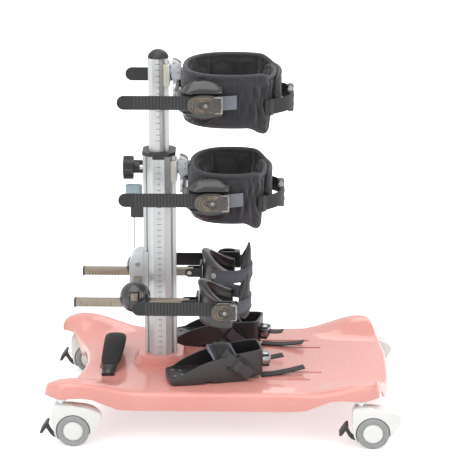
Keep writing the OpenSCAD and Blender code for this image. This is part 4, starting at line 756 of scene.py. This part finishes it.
def makePad(part):
    form, node = PadForm(**padSizes[part]), part + "_pad"
    count, steps, row = band["stations"], band["wallSteps"], band["stitchStep"]
    angles = padAngles(count)
    sewn = (*band["pinches"], form.seam, -form.seam)
    for held in sewn:  # a station lies on each seam
        nearest = min(range(count + 1), key=lambda i: abs(angles[i] - held))
        angles[nearest] = held

    def place(i, j):
        a, (k, side) = angles[i], wallStep(j, steps)
        level = -math.cos(math.pi * k / steps)
        if k in (0, steps):
            side = 0
        free = band["leastFree"] + band["freedom"] * (1 - grown(abs(a), *band["freeTo"]))
        if side > 0 and abs(a) < form.seam:
            free = min(free, band["armFree"])
        if k in (0, row, steps - row, steps) or a in sewn or i in (0, count):
            free = 0
        across = level * form.height / 2 + (0 if side > 0 else form.height)
        return form.spot(a, level, side), (math.radians(a) * band["threadRadius"], across), free

    bm = sweep(count, 2 * steps, place)
    inflate(bm, band["slack"])
    weave = bm.verts.layers.float_vector["weave"]
    for corner in bm.verts:  # creases in the outer wall
        a = math.degrees(corner[weave].x / mm / band["threadRadius"])
        level = corner[weave].y / mm / (form.height / 2)
        if level < band["creaseTop"]:
            corner.co -= form.normal(a) * (form.crease(a, level) * mm)
    for face in bm.faces:
        face.material_index = int(min(corner[weave].y for corner in face.verts) > form.height / 2 * mm)
    front, flat = (form.x + band["front"] - band["frontGap"]) * mm, band["armFace"] * mm
    for corner in bm.verts:  # the arms and the bracket hold the cloth flat
        corner.co.x = max(corner.co.x, front)
        if corner.co.x < band["armEnd"] * mm:
            corner.co.y = max(-flat, min(flat, corner.co.y))
    pad = newPiece(part + "PadBand", bm, node, "pad", "lining", angle=80)
    subdivide(pad)
    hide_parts(part + "_pad")

    rim, ends = [], band["endSteps"]
    fine = padAngles(band["bindingSteps"])
    for level, run in ((1, fine), (-1, fine[::-1])):
        for a in run:
            rim.append((form.spot(a, level, 0) - upward * (level * band["bindingSink"]), form.normal(a)))
        last = run[-1]
        for k in range(1, ends):
            rim.append((form.spot(last, level * (1 - 2 * k / ends), 0), form.normal(last)))
    ringTube(rim, *band["binding"], part + "PadBinding", node)

    bm = bmesh.new()
    rowLevel = -math.cos(math.pi * row / steps)
    inner = fine[band["plainEnd"]:-band["plainEnd"]]
    for side in (1, -1):
        for level in (rowLevel, -rowLevel):
            stitchRow(bm, [(form.spot(a, level, side), form.normal(a) * side) for a in inner])
    shift, top, seamSteps, proud = band["seamStitch"]
    levels = np.linspace(-top, top, seamSteps + 1)
    for seam in (form.seam, -form.seam):
        for a in (seam - shift, seam + shift):
            stitchRow(bm, [(form.spot(a, level, 1, proud), form.normal(a)) for level in levels])
    newPiece(part + "PadStitches", bm, node, "thread")
    return form


padForms = {part: makePad(part) for part in supports}
print("pads filled and bound")


# Rear straps and their side-release buckles

rear = {
    "from": 126, "to": 165.37, "steps": 48, "reach": 15, "drop": 14, "width": 25, "thick": 2, "lift": 1.3,
    "keepers": (-134, 134), "keeper": (4.2, 9, 27.5),
    "buckle": (  # place from the middle, size, eased edge and its segments; above and below where Z isn't 0
        ((0, -11.5, 0), (11, 21, 34), 3, 3),  # the socket half
        ((0, -15.5, 15.5), (10, 21, 4.5), 1.6, 3),
        ((0, 6, 14.2), (8, 17, 5.5), 2.4, 3),  # the arms that are squeezed
        ((0, -4, 16.6), (7, 9, 2.4), 1, 2),
        ((5.6, -12.5, 7), (1.2, 15, 1.6), 0.5, 2),
        ((0, 5, 0), (6, 18, 9), 1.8, 2),  # the middle prong
        ((0, 16.5, 0), (11, 7, 35), 2.6, 3),
        ((0, -25.4, 0), (5.5, 3.2, 33), 1.4, 3),  # bars for the webbing
        ((0, 25.4, 0), (5.5, 3.2, 33), 1.4, 3),
        ((0, -18, 0), (6, 2.6, 31), 1, 2),
        ((0, 16.4, 0), (6, 2.6, 31), 1, 2),
        ((0, 21, 16.2), (9, 13, 2.6), 1, 2),
    ),
}


def strapSpot(form, a):  # the webbing leaves the pad and swings out to the buckle
    lift = padHalf * form.flap(a) + rear["lift"]
    away = grown(abs(a), rear["from"], rear["to"] - rear["from"])
    swing = Vector(((rear["reach"] + lift) * away, 0, -rear["drop"]))
    return form.place(a, padHalf) + form.normal(a) * (lift * (1 - away)) + swing


def makeRearStrap(part):
    form, node = padForms[part], part + "_rear_strap"
    shares = [i / rear["steps"] for i in range(rear["steps"] + 1)]
    for side, sign in signs.items():
        angles = [sign * between(rear["from"], rear["to"], share) for share in shares]
        path = [(strapSpot(form, a), form.normal(a), upward) for a in angles]
        name = part + "RearWebbing" + side.capitalize()
        piece = tape(path, rear["width"], rear["thick"], name, node, "webbing")
        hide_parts(part + "_rear_strap")
    middle = strapSpot(form, rear["to"])
    middle.y = 0
    bm = bmesh.new()
    for (x, y, rise), size, ease, segments in rear["buckle"]:
        for z in sorted({-rise, rise}):
            block(bm, middle + Vector((x, y, z)), size, ease, segments)
    newPiece(part + "RearBuckle", bm, node, "gloss", angle=40)
    bm = bmesh.new()
    for a in rear["keepers"]:  # elastic keepers round the webbing
        out = form.normal(a)
        turn = Matrix.Rotation(math.atan2(out.y, out.x), 4, "Z")
        block(bm, strapSpot(form, a), rear["keeper"], 1.4, 3, turn)
    newPiece(part + "RearKeepers", bm, node, "strap")


for part in supports:
    makeRearStrap(part)
print("rear straps threaded")


# Knee cups, calf straps and their pads

calf = {  # an oval round the leg, in mm; arcs give the first and last degree and the steps
    "x": 10.8, "y": 80, "z": 226, "front": 49.5, "rear": 36.7, "half": 45,
    "height": 23, "thick": 2.2, "grow": 1.3, "arc": (-302, -116, 72),
    "stitchRise": 9, "stitchGrow": 2.4, "stitchArc": (-300, -118, 90), "stitch": (3.2, 2.1, 0.5),
}
kneeCup = {
    "angle": 104, "height": 72, "fall": 30, "thick": 13, "columns": 110, "steps": 30, "lining": 12,
    "endFrom": 94, "endArc": 10.5,
    "outline": (  # height and swell of the wall
        (-1, 0), (-0.985, 0.5), (-0.94, 0.75), (-0.78, 0.85), (-0.2, 0.8), (0.3, 0.74), (0.55, 0.76),
        (0.7, 0.86), (0.8, 1.02), (0.88, 1.1), (0.94, 1.02), (0.98, 0.74), (1, 0),
    ),
}
calfPad = {
    "rise": 9.5, "wide": 74, "tall": 67, "around": 56, "up": 26, "low": -0.5, "high": 0.54, "grow": -3.7,
    "least": 0.9, "swell": 2.5, "power": 6, "outerFree": 0.25, "innerFree": 1.6,
    "binding": (2.3, 1.7), "bindingSteps": 120,
    "halfWidths": (  # height, and half the width there, as shares
        (-0.5, 0.3), (-0.46, 0.4), (-0.34, 0.5), (0.05, 0.48), (0.22, 0.37), (0.36, 0.26), (0.5, 0.13),
        (0.54, 0.06),
    ),
}


def cupSpot(sign, a, grow, z):
    c, s = cosSin(a)
    reach = calf["front"] if c > 0 else calf["rear"]
    y = calf["y"] - (calf["half"] + grow) * s
    return Vector((calf["x"] - (reach + grow) * c, sign * y, z))


def cupOut(sign, a):
    d = cupSpot(sign, a + 1, 0, 0) - cupSpot(sign, a - 1, 0, 0)
    return Vector((-d.y, d.x, 0)).normalized() * -sign


def makeKneeCup(side):
    # a moulded cup with a rolled lip that falls away to the rear
    sign, node = signs[side], "knee_cup_" + side
    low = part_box(node)[0][2] / mm
    columns, steps, half = kneeCup["columns"], kneeCup["steps"], kneeCup["thick"] / 2

    def place(i, j):
        a = between(-kneeCup["angle"], kneeCup["angle"], i / columns)
        k, wall = wallStep(j, steps)
        level = -math.cos(math.pi * k / steps)
        end = dome(max(0, abs(a) - kneeCup["endFrom"]) / kneeCup["endArc"], 2)
        out = wall * float(np.interp(level, *zip(*kneeCup["outline"]))) * half * end
        top = kneeCup["height"] - kneeCup["fall"] * smoothStep(abs(a) / kneeCup["angle"])
        spot = cupSpot(sign, a, -half, low + top * (level + 1) / 2) + cupOut(sign, a) * out
        return spot, (a, j), 0

    bm = sweep(columns, 2 * steps, place)
    weave = bm.verts.layers.float_vector["weave"]
    lining = (steps + kneeCup["lining"]) * mm
    for face in bm.faces:  # the lining starts below the lip
        face.material_index = int(min(corner[weave].y for corner in face.verts) > lining)
    cup = newPiece(node + "Moulding", bm, node, "cup", "foam", angle=70)
    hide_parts(node)


def calfHeight(turn):  # up one side of the pad in half a turn, as a share of its height
    return between(calfPad["low"], calfPad["high"], 0.5 - 0.5 * math.cos(turn))


def calfHalf(height):  # half the pad's width there, in mm
    return calfPad["wide"] * float(np.interp(height, *zip(*calfPad["halfWidths"])))


def calfSpot(sign, y, height, grow):  # a spot of the pad, and the way out from it
    a = 180 - math.degrees(math.asin(max(-1, min(1, y / calf["half"]))))
    z = calf["z"] + calfPad["rise"] + height * calfPad["tall"]
    return cupSpot(sign, a, grow, z), cupOut(sign, a)


def makeCalfStrap(side):
    sign, node = signs[side], "knee_strap_" + side
    z, around, steps = calf["z"], calfPad["around"], calfPad["up"]
    arc = np.linspace(*calf["arc"])
    path = [(cupSpot(sign, a, calf["grow"], z), cupOut(sign, a), upward) for a in arc]
    tape(path, calf["height"], calf["thick"], node + "Tape", node, "calfTape")
    bm = bmesh.new()
    arc = np.linspace(*calf["stitchArc"])
    for level in (z - calf["stitchRise"], z + calf["stitchRise"]):
        path = [(cupSpot(sign, a, calf["stitchGrow"], level), cupOut(sign, a)) for a in arc]
        stitchRow(bm, path, *calf["stitch"])
    newPiece(node + "Stitches", bm, node, "thread")
    middle, half = (calfPad["high"] + calfPad["low"]) / 2, (calfPad["high"] - calfPad["low"]) / 2

    def place(i, j):
        k, wall = wallStep(j, steps)
        height = calfHeight(math.pi * k / steps)
        across = -math.cos(math.pi * i / around)
        rim = dome(across, calfPad["power"]) * dome((height - middle) / half, calfPad["power"])
        y, grow, free = across * calfHalf(height), calfPad["grow"], 0
        if i not in (0, around) and k not in (0, steps):
            grow += wall * (calfPad["least"] + calfPad["swell"] * rim)
            free = calfPad["outerFree"] if wall > 0 else calfPad["innerFree"]
        return calfSpot(sign, y, height, grow)[0], (y, height * calfPad["tall"]), free

    bm = sweep(around, 2 * steps, place)
    inflate(bm)
    pad = newPiece(node + "Pad", bm, node, "pad", angle=80)
    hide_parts(node)
    rim = []
    for i in range(calfPad["bindingSteps"]):  # round the pad's outline
        turn = math.tau * i / calfPad["bindingSteps"]
        y = (1 if turn < math.pi else -1) * calfHalf(calfHeight(turn))
        rim.append(calfSpot(sign, y, calfHeight(turn), calfPad["grow"]))
    ringTube(rim, *calfPad["binding"], node + "Binding", node)


for side in signs:
    makeKneeCup(side)
    makeCalfStrap(side)
print("calf straps sewn")


# Sandal straps: a padded instep band with webbing over it, side tongues and two tails

sandal = {  # in the sandal's own frame, in mm
    "pivot": (24, 74), "clampX": 130, "splay": 12, "floor": 88.3,
    "bandHalf": 22.7, "bandX": 113, "lean": 12, "low": 21, "high": 53, "power": 0.62,
    "bandWidth": 40, "bandThick": 7.6, "bandPower": 3.2, "across": 26, "along": 60, "threadRadius": 30,
    "crown": 0.25, "sewnFrom": 18, "sideTop": 0.6, "sideFree": 0.2, "topFree": 1.2,
    "edges": {"Front": -19, "Back": 19}, "edge": (3.6, 8.2), "edgeArc": (172, 8, 60),
    "webbing": 20, "webbingThick": 1.8, "webbingLift": (4.6, 1.4), "webbingArc": (166, 14, 60),
    "glide": (129.6, 31.2, 28), "glideTurn": 40, "tongue": (-34, 26, 50), "tongueLift": 1.8,
    "hump": 3.4, "humpHalf": 5, "wall": 9, "wallFrom": (20, 14),
    "tails": {"Lower": (172.02, -9.1, 1.6, 74, 9), "Upper": (185.1, 0, 28, 26, 3)},  # place, length and lift
    "tailWidth": 17, "tailSteps": 40, "sway": 2.5, "sways": 3, "thick": 2,
}


def sandalSpot(sign, x, y, z):
    c, s = cosSin(sandal["splay"])
    px, py = sandal["pivot"]
    dx = x - sandal["clampX"]
    return Vector((px + c * dx - s * y, sign * (py - s * dx - c * y), sandal["floor"] + z))


def sandalWay(sign, x, y, z):  # a direction in the sandal's own frame
    return (sandalSpot(sign, x, y, z) - sandalSpot(sign, 0, 0, 0)).normalized()


def bandPlace(a, lift):
    c, s = cosSin(a)
    rise = between(sandal["low"], sandal["high"], abs(s) ** sandal["power"])
    return sandal["bandX"] - sandal["lean"] * s, (sandal["bandHalf"] + lift) * c, rise + s * lift


def makeSandalStraps(side):
    sign, node = signs[side], "sandal_straps_" + side
    count, around = sandal["along"], sandal["across"]
    section = roundSection(sandal["bandWidth"], sandal["bandThick"], around, sandal["bandPower"])

    def place(i, j):
        across, lift = section[j % around]
        a = between(180, 0, i / count)
        high = math.sin(math.radians(a))
        x, y, z = bandPlace(a, lift * (1 + sandal["crown"] * high if lift > 0 else 1))
        free = sandal["sideFree"] if lift > 0 and high < sandal["sideTop"] else sandal["topFree"]
        if i in (0, count) or abs(across) > sandal["sewnFrom"]:
            free = 0
        return sandalSpot(sign, x + across, y, z), (math.radians(a) * sandal["threadRadius"], across), free

    def bandPath(arc, shift, lift, crown):
        path = []
        for a in np.linspace(*arc):
            x, y, z = bandPlace(a, lift + crown * math.sin(math.radians(a)))
            spot = sandalSpot(sign, x + shift, y, z)
            path.append((spot, sandalWay(sign, 0, *cosSin(a)), sandalWay(sign, 1, 0, 0)))
        return path

    bm = sweep(count, around, place)
    inflate(bm)
    piece = newPiece(node + "Band", bm, node, "pad", angle=80)
    subdivide(piece)
    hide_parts(node)
    for word, shift in sandal["edges"].items():
        path = bandPath(sandal["edgeArc"], shift, 0, 0)
        tape(path, *sandal["edge"], node + "Edge" + word, node, "edging", 12, 3)
    path = bandPath(sandal["webbingArc"], 0, *sandal["webbingLift"])
    tape(path, sandal["webbing"], sandal["webbingThick"], node + "Webbing", node, "webbing")

    gx, gy, gz = sandal["glide"]
    c, s = cosSin(sandal["glideTurn"])
    for wall, word in ((-1, "Outer"), (1, "Inner")):
        path = []
        for t in np.linspace(*sandal["tongue"]):  # over the wall, then over the strap slide's bar
            hump = sandal["hump"] * math.exp(-((t / sandal["humpHalf"]) ** 2))
            out = gy + sandal["tongueLift"] + hump - sandal["wall"] * grown(-t, *sandal["wallFrom"])
            spot = sandalSpot(sign, gx + c * t, wall * out, gz - s * t)
            path.append((spot, sandalWay(sign, 0, wall, 0), sandalWay(sign, s, 0, c)))
        tape(path, sandal["webbing"], sandal["thick"], node + "Tongue" + word, node, "ribbedTape")
    for word, (x, y, z, length, lift) in sandal["tails"].items():
        path = []
        for t in np.linspace(0, 1, sandal["tailSteps"]):
            rise = Vector((-2 * lift * t / length, 0, 1)).normalized()
            sway = sandal["sway"] * math.sin(sandal["sways"] * t) * t
            spot = sandalSpot(sign, x + t * length, y + sway, z + lift * t * t)
            path.append((spot, sandalWay(sign, *rise), sandalWay(sign, 0, 1, 0)))
        tape(path, sandal["tailWidth"], sandal["thick"], node + "Tail" + word, node, "webbing")


for side in signs:
    makeSandalStraps(side)
print("sandal straps laid")


# Printed scales on both faces of the column

scale = {
    "x": -106, "step": 10, "group": 5, "length": 7.6, "line": 0.9, "proud": 0.12, "digit": 5.2,
    "lower": (98, 448, 24.6, 408.5), "upper": (472, 618, 16.5, 522),  # from, to, face and one numbered line
}


def numeral(text, size):  # printed figures as a flat mesh in their own plane
    curve = bpy.data.curves.new("numeral", "FONT")
    curve.body, curve.size = text, size * mm
    curve.align_x = curve.align_y = "CENTER"
    curve.extrude = scale["proud"] / 2 * mm
    obj = add("numeral", curve)
    bpy.context.view_layer.update()
    mesh = bpy.data.meshes.new_from_object(obj.evaluated_get(bpy.context.evaluated_depsgraph_get()))
    bpy.data.objects.remove(obj)
    bpy.data.curves.remove(curve)
    return mesh


def makeScale(stage):
    node, step = stage + "_column", scale["step"]
    low, high, face, numbered = scale[stage]
    ticks, digits = bmesh.new(), bmesh.new()
    lines = range(math.floor((low - numbered) / step) + 1, math.ceil((high - numbered) / step))
    for sign in signs.values():
        turn = Matrix.Rotation(math.pi / 2 * (1 + sign), 4, "Z") @ Matrix.Rotation(math.pi / 2, 4, "X")
        for line in lines:
            spot = Vector((scale["x"], sign * face, numbered + line * step))
            if line % scale["group"]:
                block(ticks, spot, (scale["length"], scale["proud"] * 2, scale["line"]), 0.05, 1)
            else:
                mesh = numeral(str(round(spot.z / step) % 100), scale["digit"])
                mesh.transform(Matrix.Translation(spot * mm) @ turn)
                digits.from_mesh(mesh)
                bpy.data.meshes.remove(mesh)
    newPiece(node + "Ticks", ticks, node, "tick")
    newPiece(node + "Figures", digits, node, "digit")


makeScale("lower")
makeScale("upper")
print("scales printed")


# Ratchet levers: ridged nose, pivot and yoke

ratchet = {
    "width": 32, "face": 21,
    "noses": (0.94, 0.74, 0.54), "ridge": 1.5, "ridgeArc": (62, 298, 44), "power": 0.75, "inset": 3,
    "ridgeOn": -2, "ridgeRise": -0.2,
    "pivot": 0.02, "washers": ((-2.4, 7.6, 2.2, 0.6), (-0.6, 4.2, 1.6, 0.7)),  # rise, radius, height and ease
    "rivet": (0.9, 3.3, 0.7, 0.3),
    "ribs": 4, "ribStep": 2.4, "rib": (1.3, 1.2, 14),
}
ratchetAt = {  # centre along X, buckle face, height and length
    "chest": (-25, 95.32, 568, 57), "hip": (-14.5, 95.32, 404, 57), "knee": (6, 125.3, 226, 42),
}


def makeRatchet(part, side):
    sign, node = signs[side], f"{part}_lever_{side}"
    x, base, z, length = ratchetAt[part]
    out = Vector((0, sign, 0))
    halfLong, halfWide = length / 2 - ratchet["inset"], ratchet["width"] / 2 - ratchet["inset"]

    def at(share, rise, on=0, up=0):  # a share of the length from the middle, and mm over the face
        return Vector((x + length * share + on, sign * (base + ratchet["face"] + rise), z + up))

    # ridges of the lever's own smoked plastic, painted lighter as a painted highlight
    for k, nose in enumerate(ratchet["noses"]):
        spots = []
        for turn in np.linspace(*ratchet["ridgeArc"]):
            c, s = (bent(value, ratchet["power"]) * nose for value in cosSin(turn))
            spots.append(at(0, ratchet["ridgeRise"], ratchet["ridgeOn"] + c * halfLong, s * halfWide))
        path = []
        for before, spot, after in zip(spots[:1] + spots, spots, spots[1:] + spots[-1:]):
            path.append((spot, out, (after - before).cross(out).normalized()))
        tape(path, ratchet["ridge"], ratchet["ridge"], f"{node}Ridge{k}", node, "ridge", 8, 2.2)
    bm = bmesh.new()
    for rise, radius, height, ease in ratchet["washers"]:
        disc(bm, at(ratchet["pivot"], rise), radius, height, out, ease)
    for k in range(ratchet["ribs"]):  # grip ribs by the hinge
        block(bm, at(0.24, -0.1, k * ratchet["ribStep"]), ratchet["rib"], 0.4)
    newPiece(node + "Pivot", bm, node, "gloss")
    bm = bmesh.new()
    rise, radius, height, ease = ratchet["rivet"]
    disc(bm, at(ratchet["pivot"], rise), radius, height, out, ease, 24)
    for up in (-12.6, 12.6):  # the yoke's cheeks, then its bar
        block(bm, at(0.37, -3.2, 0, up), (length * 0.26, 5.4, 2.6), 1)
    block(bm, at(0.47, -4), (3.2, 7, 26), 1.2)
    newPiece(node + "Yoke", bm, node, "clear")


armDome = {
    "from": -37, "to": 29.5, "low": 16.6, "high": 34.8, "peak": 0.5, "front": 0.06, "rear": 0.42,
    "back": 91, "edge": 0.6, "proud": 12.2, "power": 1.9, "endPower": 7,
    "columns": 44, "faceSteps": 19, "backSteps": 3,
}


def makeArmDome(part, side, up):
    x, _, z, _ = ratchetAt[part]
    low, peak, columns, faceSteps = (armDome[key] for key in ("low", "peak", "columns", "faceSteps"))
    rows = faceSteps + armDome["backSteps"] + 2

    def place(i, j):
        t = i / columns
        length, end = (peak, armDome["front"]) if t < peak else (1 - peak, armDome["rear"])
        top = between(armDome["high"], low, (1 - end) * ((t - peak) / length) ** 2)
        row = j % rows
        if row <= faceSteps:  # the domed face, from the strap up to the rim
            share = row / faceSteps
            proud = armDome["proud"] * dome(2 * t - 1, armDome["endPower"])
            y = armDome["back"] + armDome["edge"] + proud * (1 - share ** armDome["power"])
            rise = between(low, top, share)
        else:
            y = armDome["back"]
            rise = between(top, low, (row - faceSteps - 1) / armDome["backSteps"])
        return (x + between(armDome["from"], armDome["to"], t), signs[side] * y, z + up * rise), (t, j), 0

    name = f"{part}Dome{side.capitalize()}{'Upper' if up > 0 else 'Lower'}"
    newPiece(name, sweep(columns, rows, place), part + "_arms", "arm", angle=50)


for side in signs:
    for part in (*supports, "knee"):
        makeRatchet(part, side)
for part in supports:
    for side in signs:
        for up in (-1, 1):
            makeArmDome(part, side, up)
print("levers detailed")


# Small trim: rod marks, fork and sandal screws, heel buckles and the foam grip

trim = {
    "marks": 11, "markFrom": 12, "markStep": 5, "markWide": 0.8, "markTall": 5, "markMore": 2.4,
    "markLow": -5, "rodFace": 6.28, "forkPin": 7.5, "forkFace": 10.4,
    "toeScrews": ((24, -14), (24, 14), (36, -9), (36, 9)), "toeTop": 11, "toeHead": 1.4,
}
heel = {"x": 172, "low": 17, "half": 12}
grip = {
    "x": -192, "half": 66, "foot": 16, "rise": 27, "lean": 14, "floor": 88.02, "from": 0.15, "bow": 2.2,
    "wide": (30, 37), "tall": (11, 17), "bar": (5, 12), "power": 2.5,  # at the ends and in the middle
    "endCut": 0.22, "endFrom": 0.86, "columns": 48, "rows": 28, "nudge": 0.01,
}


def makeTrim(side):
    node = "knee_rod_" + side
    low, high = (Vector(corner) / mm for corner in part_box(node))
    middle = (low + high) / 2
    bm = bmesh.new()
    for i in range(trim["marks"]):
        tall = trim["markTall"] + (trim["markMore"] if i % 5 == 0 else 0)
        x, z = low.x + trim["markFrom"] + i * trim["markStep"], middle.z + trim["markLow"] + tall / 2
        for y in (middle.y - trim["rodFace"], middle.y + trim["rodFace"]):
            block(bm, (x, y, z), (trim["markWide"], 0.2, tall), 0.05, 1)
    newPiece(node + "Marks", bm, node, "digit")
    node = "knee_fork_" + side
    low, high = (Vector(corner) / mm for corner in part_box(node))
    bm = bmesh.new()
    for wall in (-1, 1):  # bright screw heads on the fork's pin
        out = Vector((0, wall, 0))
        spot = (low + high) / 2 + out * trim["forkFace"]
        spot.x = low.x + trim["forkPin"]
        disc(bm, spot, 4.3, 1, out, 0.4, 24)
        disc(bm, spot + out, 2.2, 0.5, out, 0.2, 6)
    newPiece(node + "Screws", bm, node, "steel")
    node = "sandal_shell_" + side
    bm = bmesh.new()
    for x, y in trim["toeScrews"]:
        spot = sandalSpot(signs[side], x, y, trim["toeTop"])
        disc(bm, spot, 3.2, trim["toeHead"], upward, 0.5, 20)
        block(bm, spot + upward * trim["toeHead"], (3.6, 0.9, 0.4), 0.1, 1)
    newPiece(node + "Screws", bm, node, "plate")


def makeHeelBuckle(side):
    sign, node = signs[side], "sandal_hardware_" + side
    turn = Matrix.Rotation(math.radians(-sign * sandal["splay"]), 4, "Z")

    def at(x, y, rise):
        return sandalSpot(sign, heel["x"] + x, y, heel["low"] + rise)

    bm = bmesh.new()
    for wall in (-1, 1):  # plated cheeks, roller and tongue on the moulded block
        block(bm, at(8, wall * (heel["half"] + 0.9), 12), (14, 1.8, 13), 0.8, 2, turn)
        disc(bm, at(9, wall * (heel["half"] + 1.6), 12), 3.4, 1.4, sandalWay(sign, 0, wall, 0), 0.5, 20)
    block(bm, at(6, 0, 21), (11, 19, 2), 0.8, 2, turn)
    disc(bm, at(14.2, -10, 16), 2.6, 20, sandalWay(sign, 0, 1, 0), 0.5, 20)
    newPiece(node + "Plating", bm, node, "chrome")


def makeGrip():
    # a foam sleeve on the carry handle
    span, columns, rows = 2 * (grip["half"] + grip["foot"]), grip["columns"], grip["rows"]

    def lift(share):
        return 1 - min(1, abs(2 * share - 1) * span / 2 / grip["half"]) ** grip["bow"]

    def place(i, j):
        share = between(grip["from"], 1 - grip["from"], i / columns)
        up, nudge = lift(share), grip["nudge"]
        slope = math.atan2(grip["rise"] * (lift(share + nudge) - lift(share - nudge)), 2 * nudge * span)
        last = max(0, abs(2 * i / columns - 1) - grip["endFrom"]) / (1 - grip["endFrom"])
        wide, tall = ((1 - grip["endCut"] * last) * between(*grip[key], up) for key in ("wide", "tall"))
        across, out = roundSection(wide, tall, rows, grip["power"])[j % rows]
        z = grip["floor"] + grip["rise"] * up + between(*grip["bar"], up) / 2
        x = grip["x"] + grip["rise"] * up * math.tan(math.radians(grip["lean"]))
        y = (share - 0.5) * span
        return (x + across, y - out * math.sin(slope), z + out * math.cos(slope)), (y, across), 0

    sleeve = newPiece("carryGrip", sweep(columns, rows, place), "carry_handle", "foam", angle=60)


for side in signs:
    makeTrim(side)
for side in signs:
    makeHeelBuckle(side)
makeGrip()
print("trim added")


# Floor and surroundings

def makeFloor():
    bm = bmesh.new()
    bmesh.ops.create_grid(bm, x_segments=1, y_segments=1, size=studio["floorSize"] / 2)
    mesh = bpy.data.meshes.new("studioFloor")
    bm.to_mesh(mesh)
    bm.free()
    floor = add("studioFloor", mesh)
    paint = Paint("floorWhite", Roughness=1.0, Specular_IOR_Level=0.0, Emission_Strength=1.0)
    paint.colour(studio["floorColour"])
    away = paint.node("ShaderNodeVectorMath", {"operation": "LENGTH"}, {0: paint.coords}, "Value")
    far = paint.ramp(away, *studio["floorFade"])  # past the shadow the floor is plain white
    level = paint.seen() * (studio["floorLift"] + far * (1 - studio["floorLift"]))
    paint.feed(paint.shader.inputs["Emission Color"], paint.mix(level, (0, 0, 0, 1), (1, 1, 1, 1)))
    mesh.materials.append(paint.material)


def makeSky():
    scene.world = bpy.data.worlds.new("studioSky")
    sky, light = Paint("studioSky", scene.world, "Background", Color=(1, 1, 1, 1)), studio["skyLight"]
    sky.feed(sky.shader.inputs["Strength"], light + sky.ramp(sky.seen(), 0, 1) * (1 - light))


makeFloor()
makeSky()
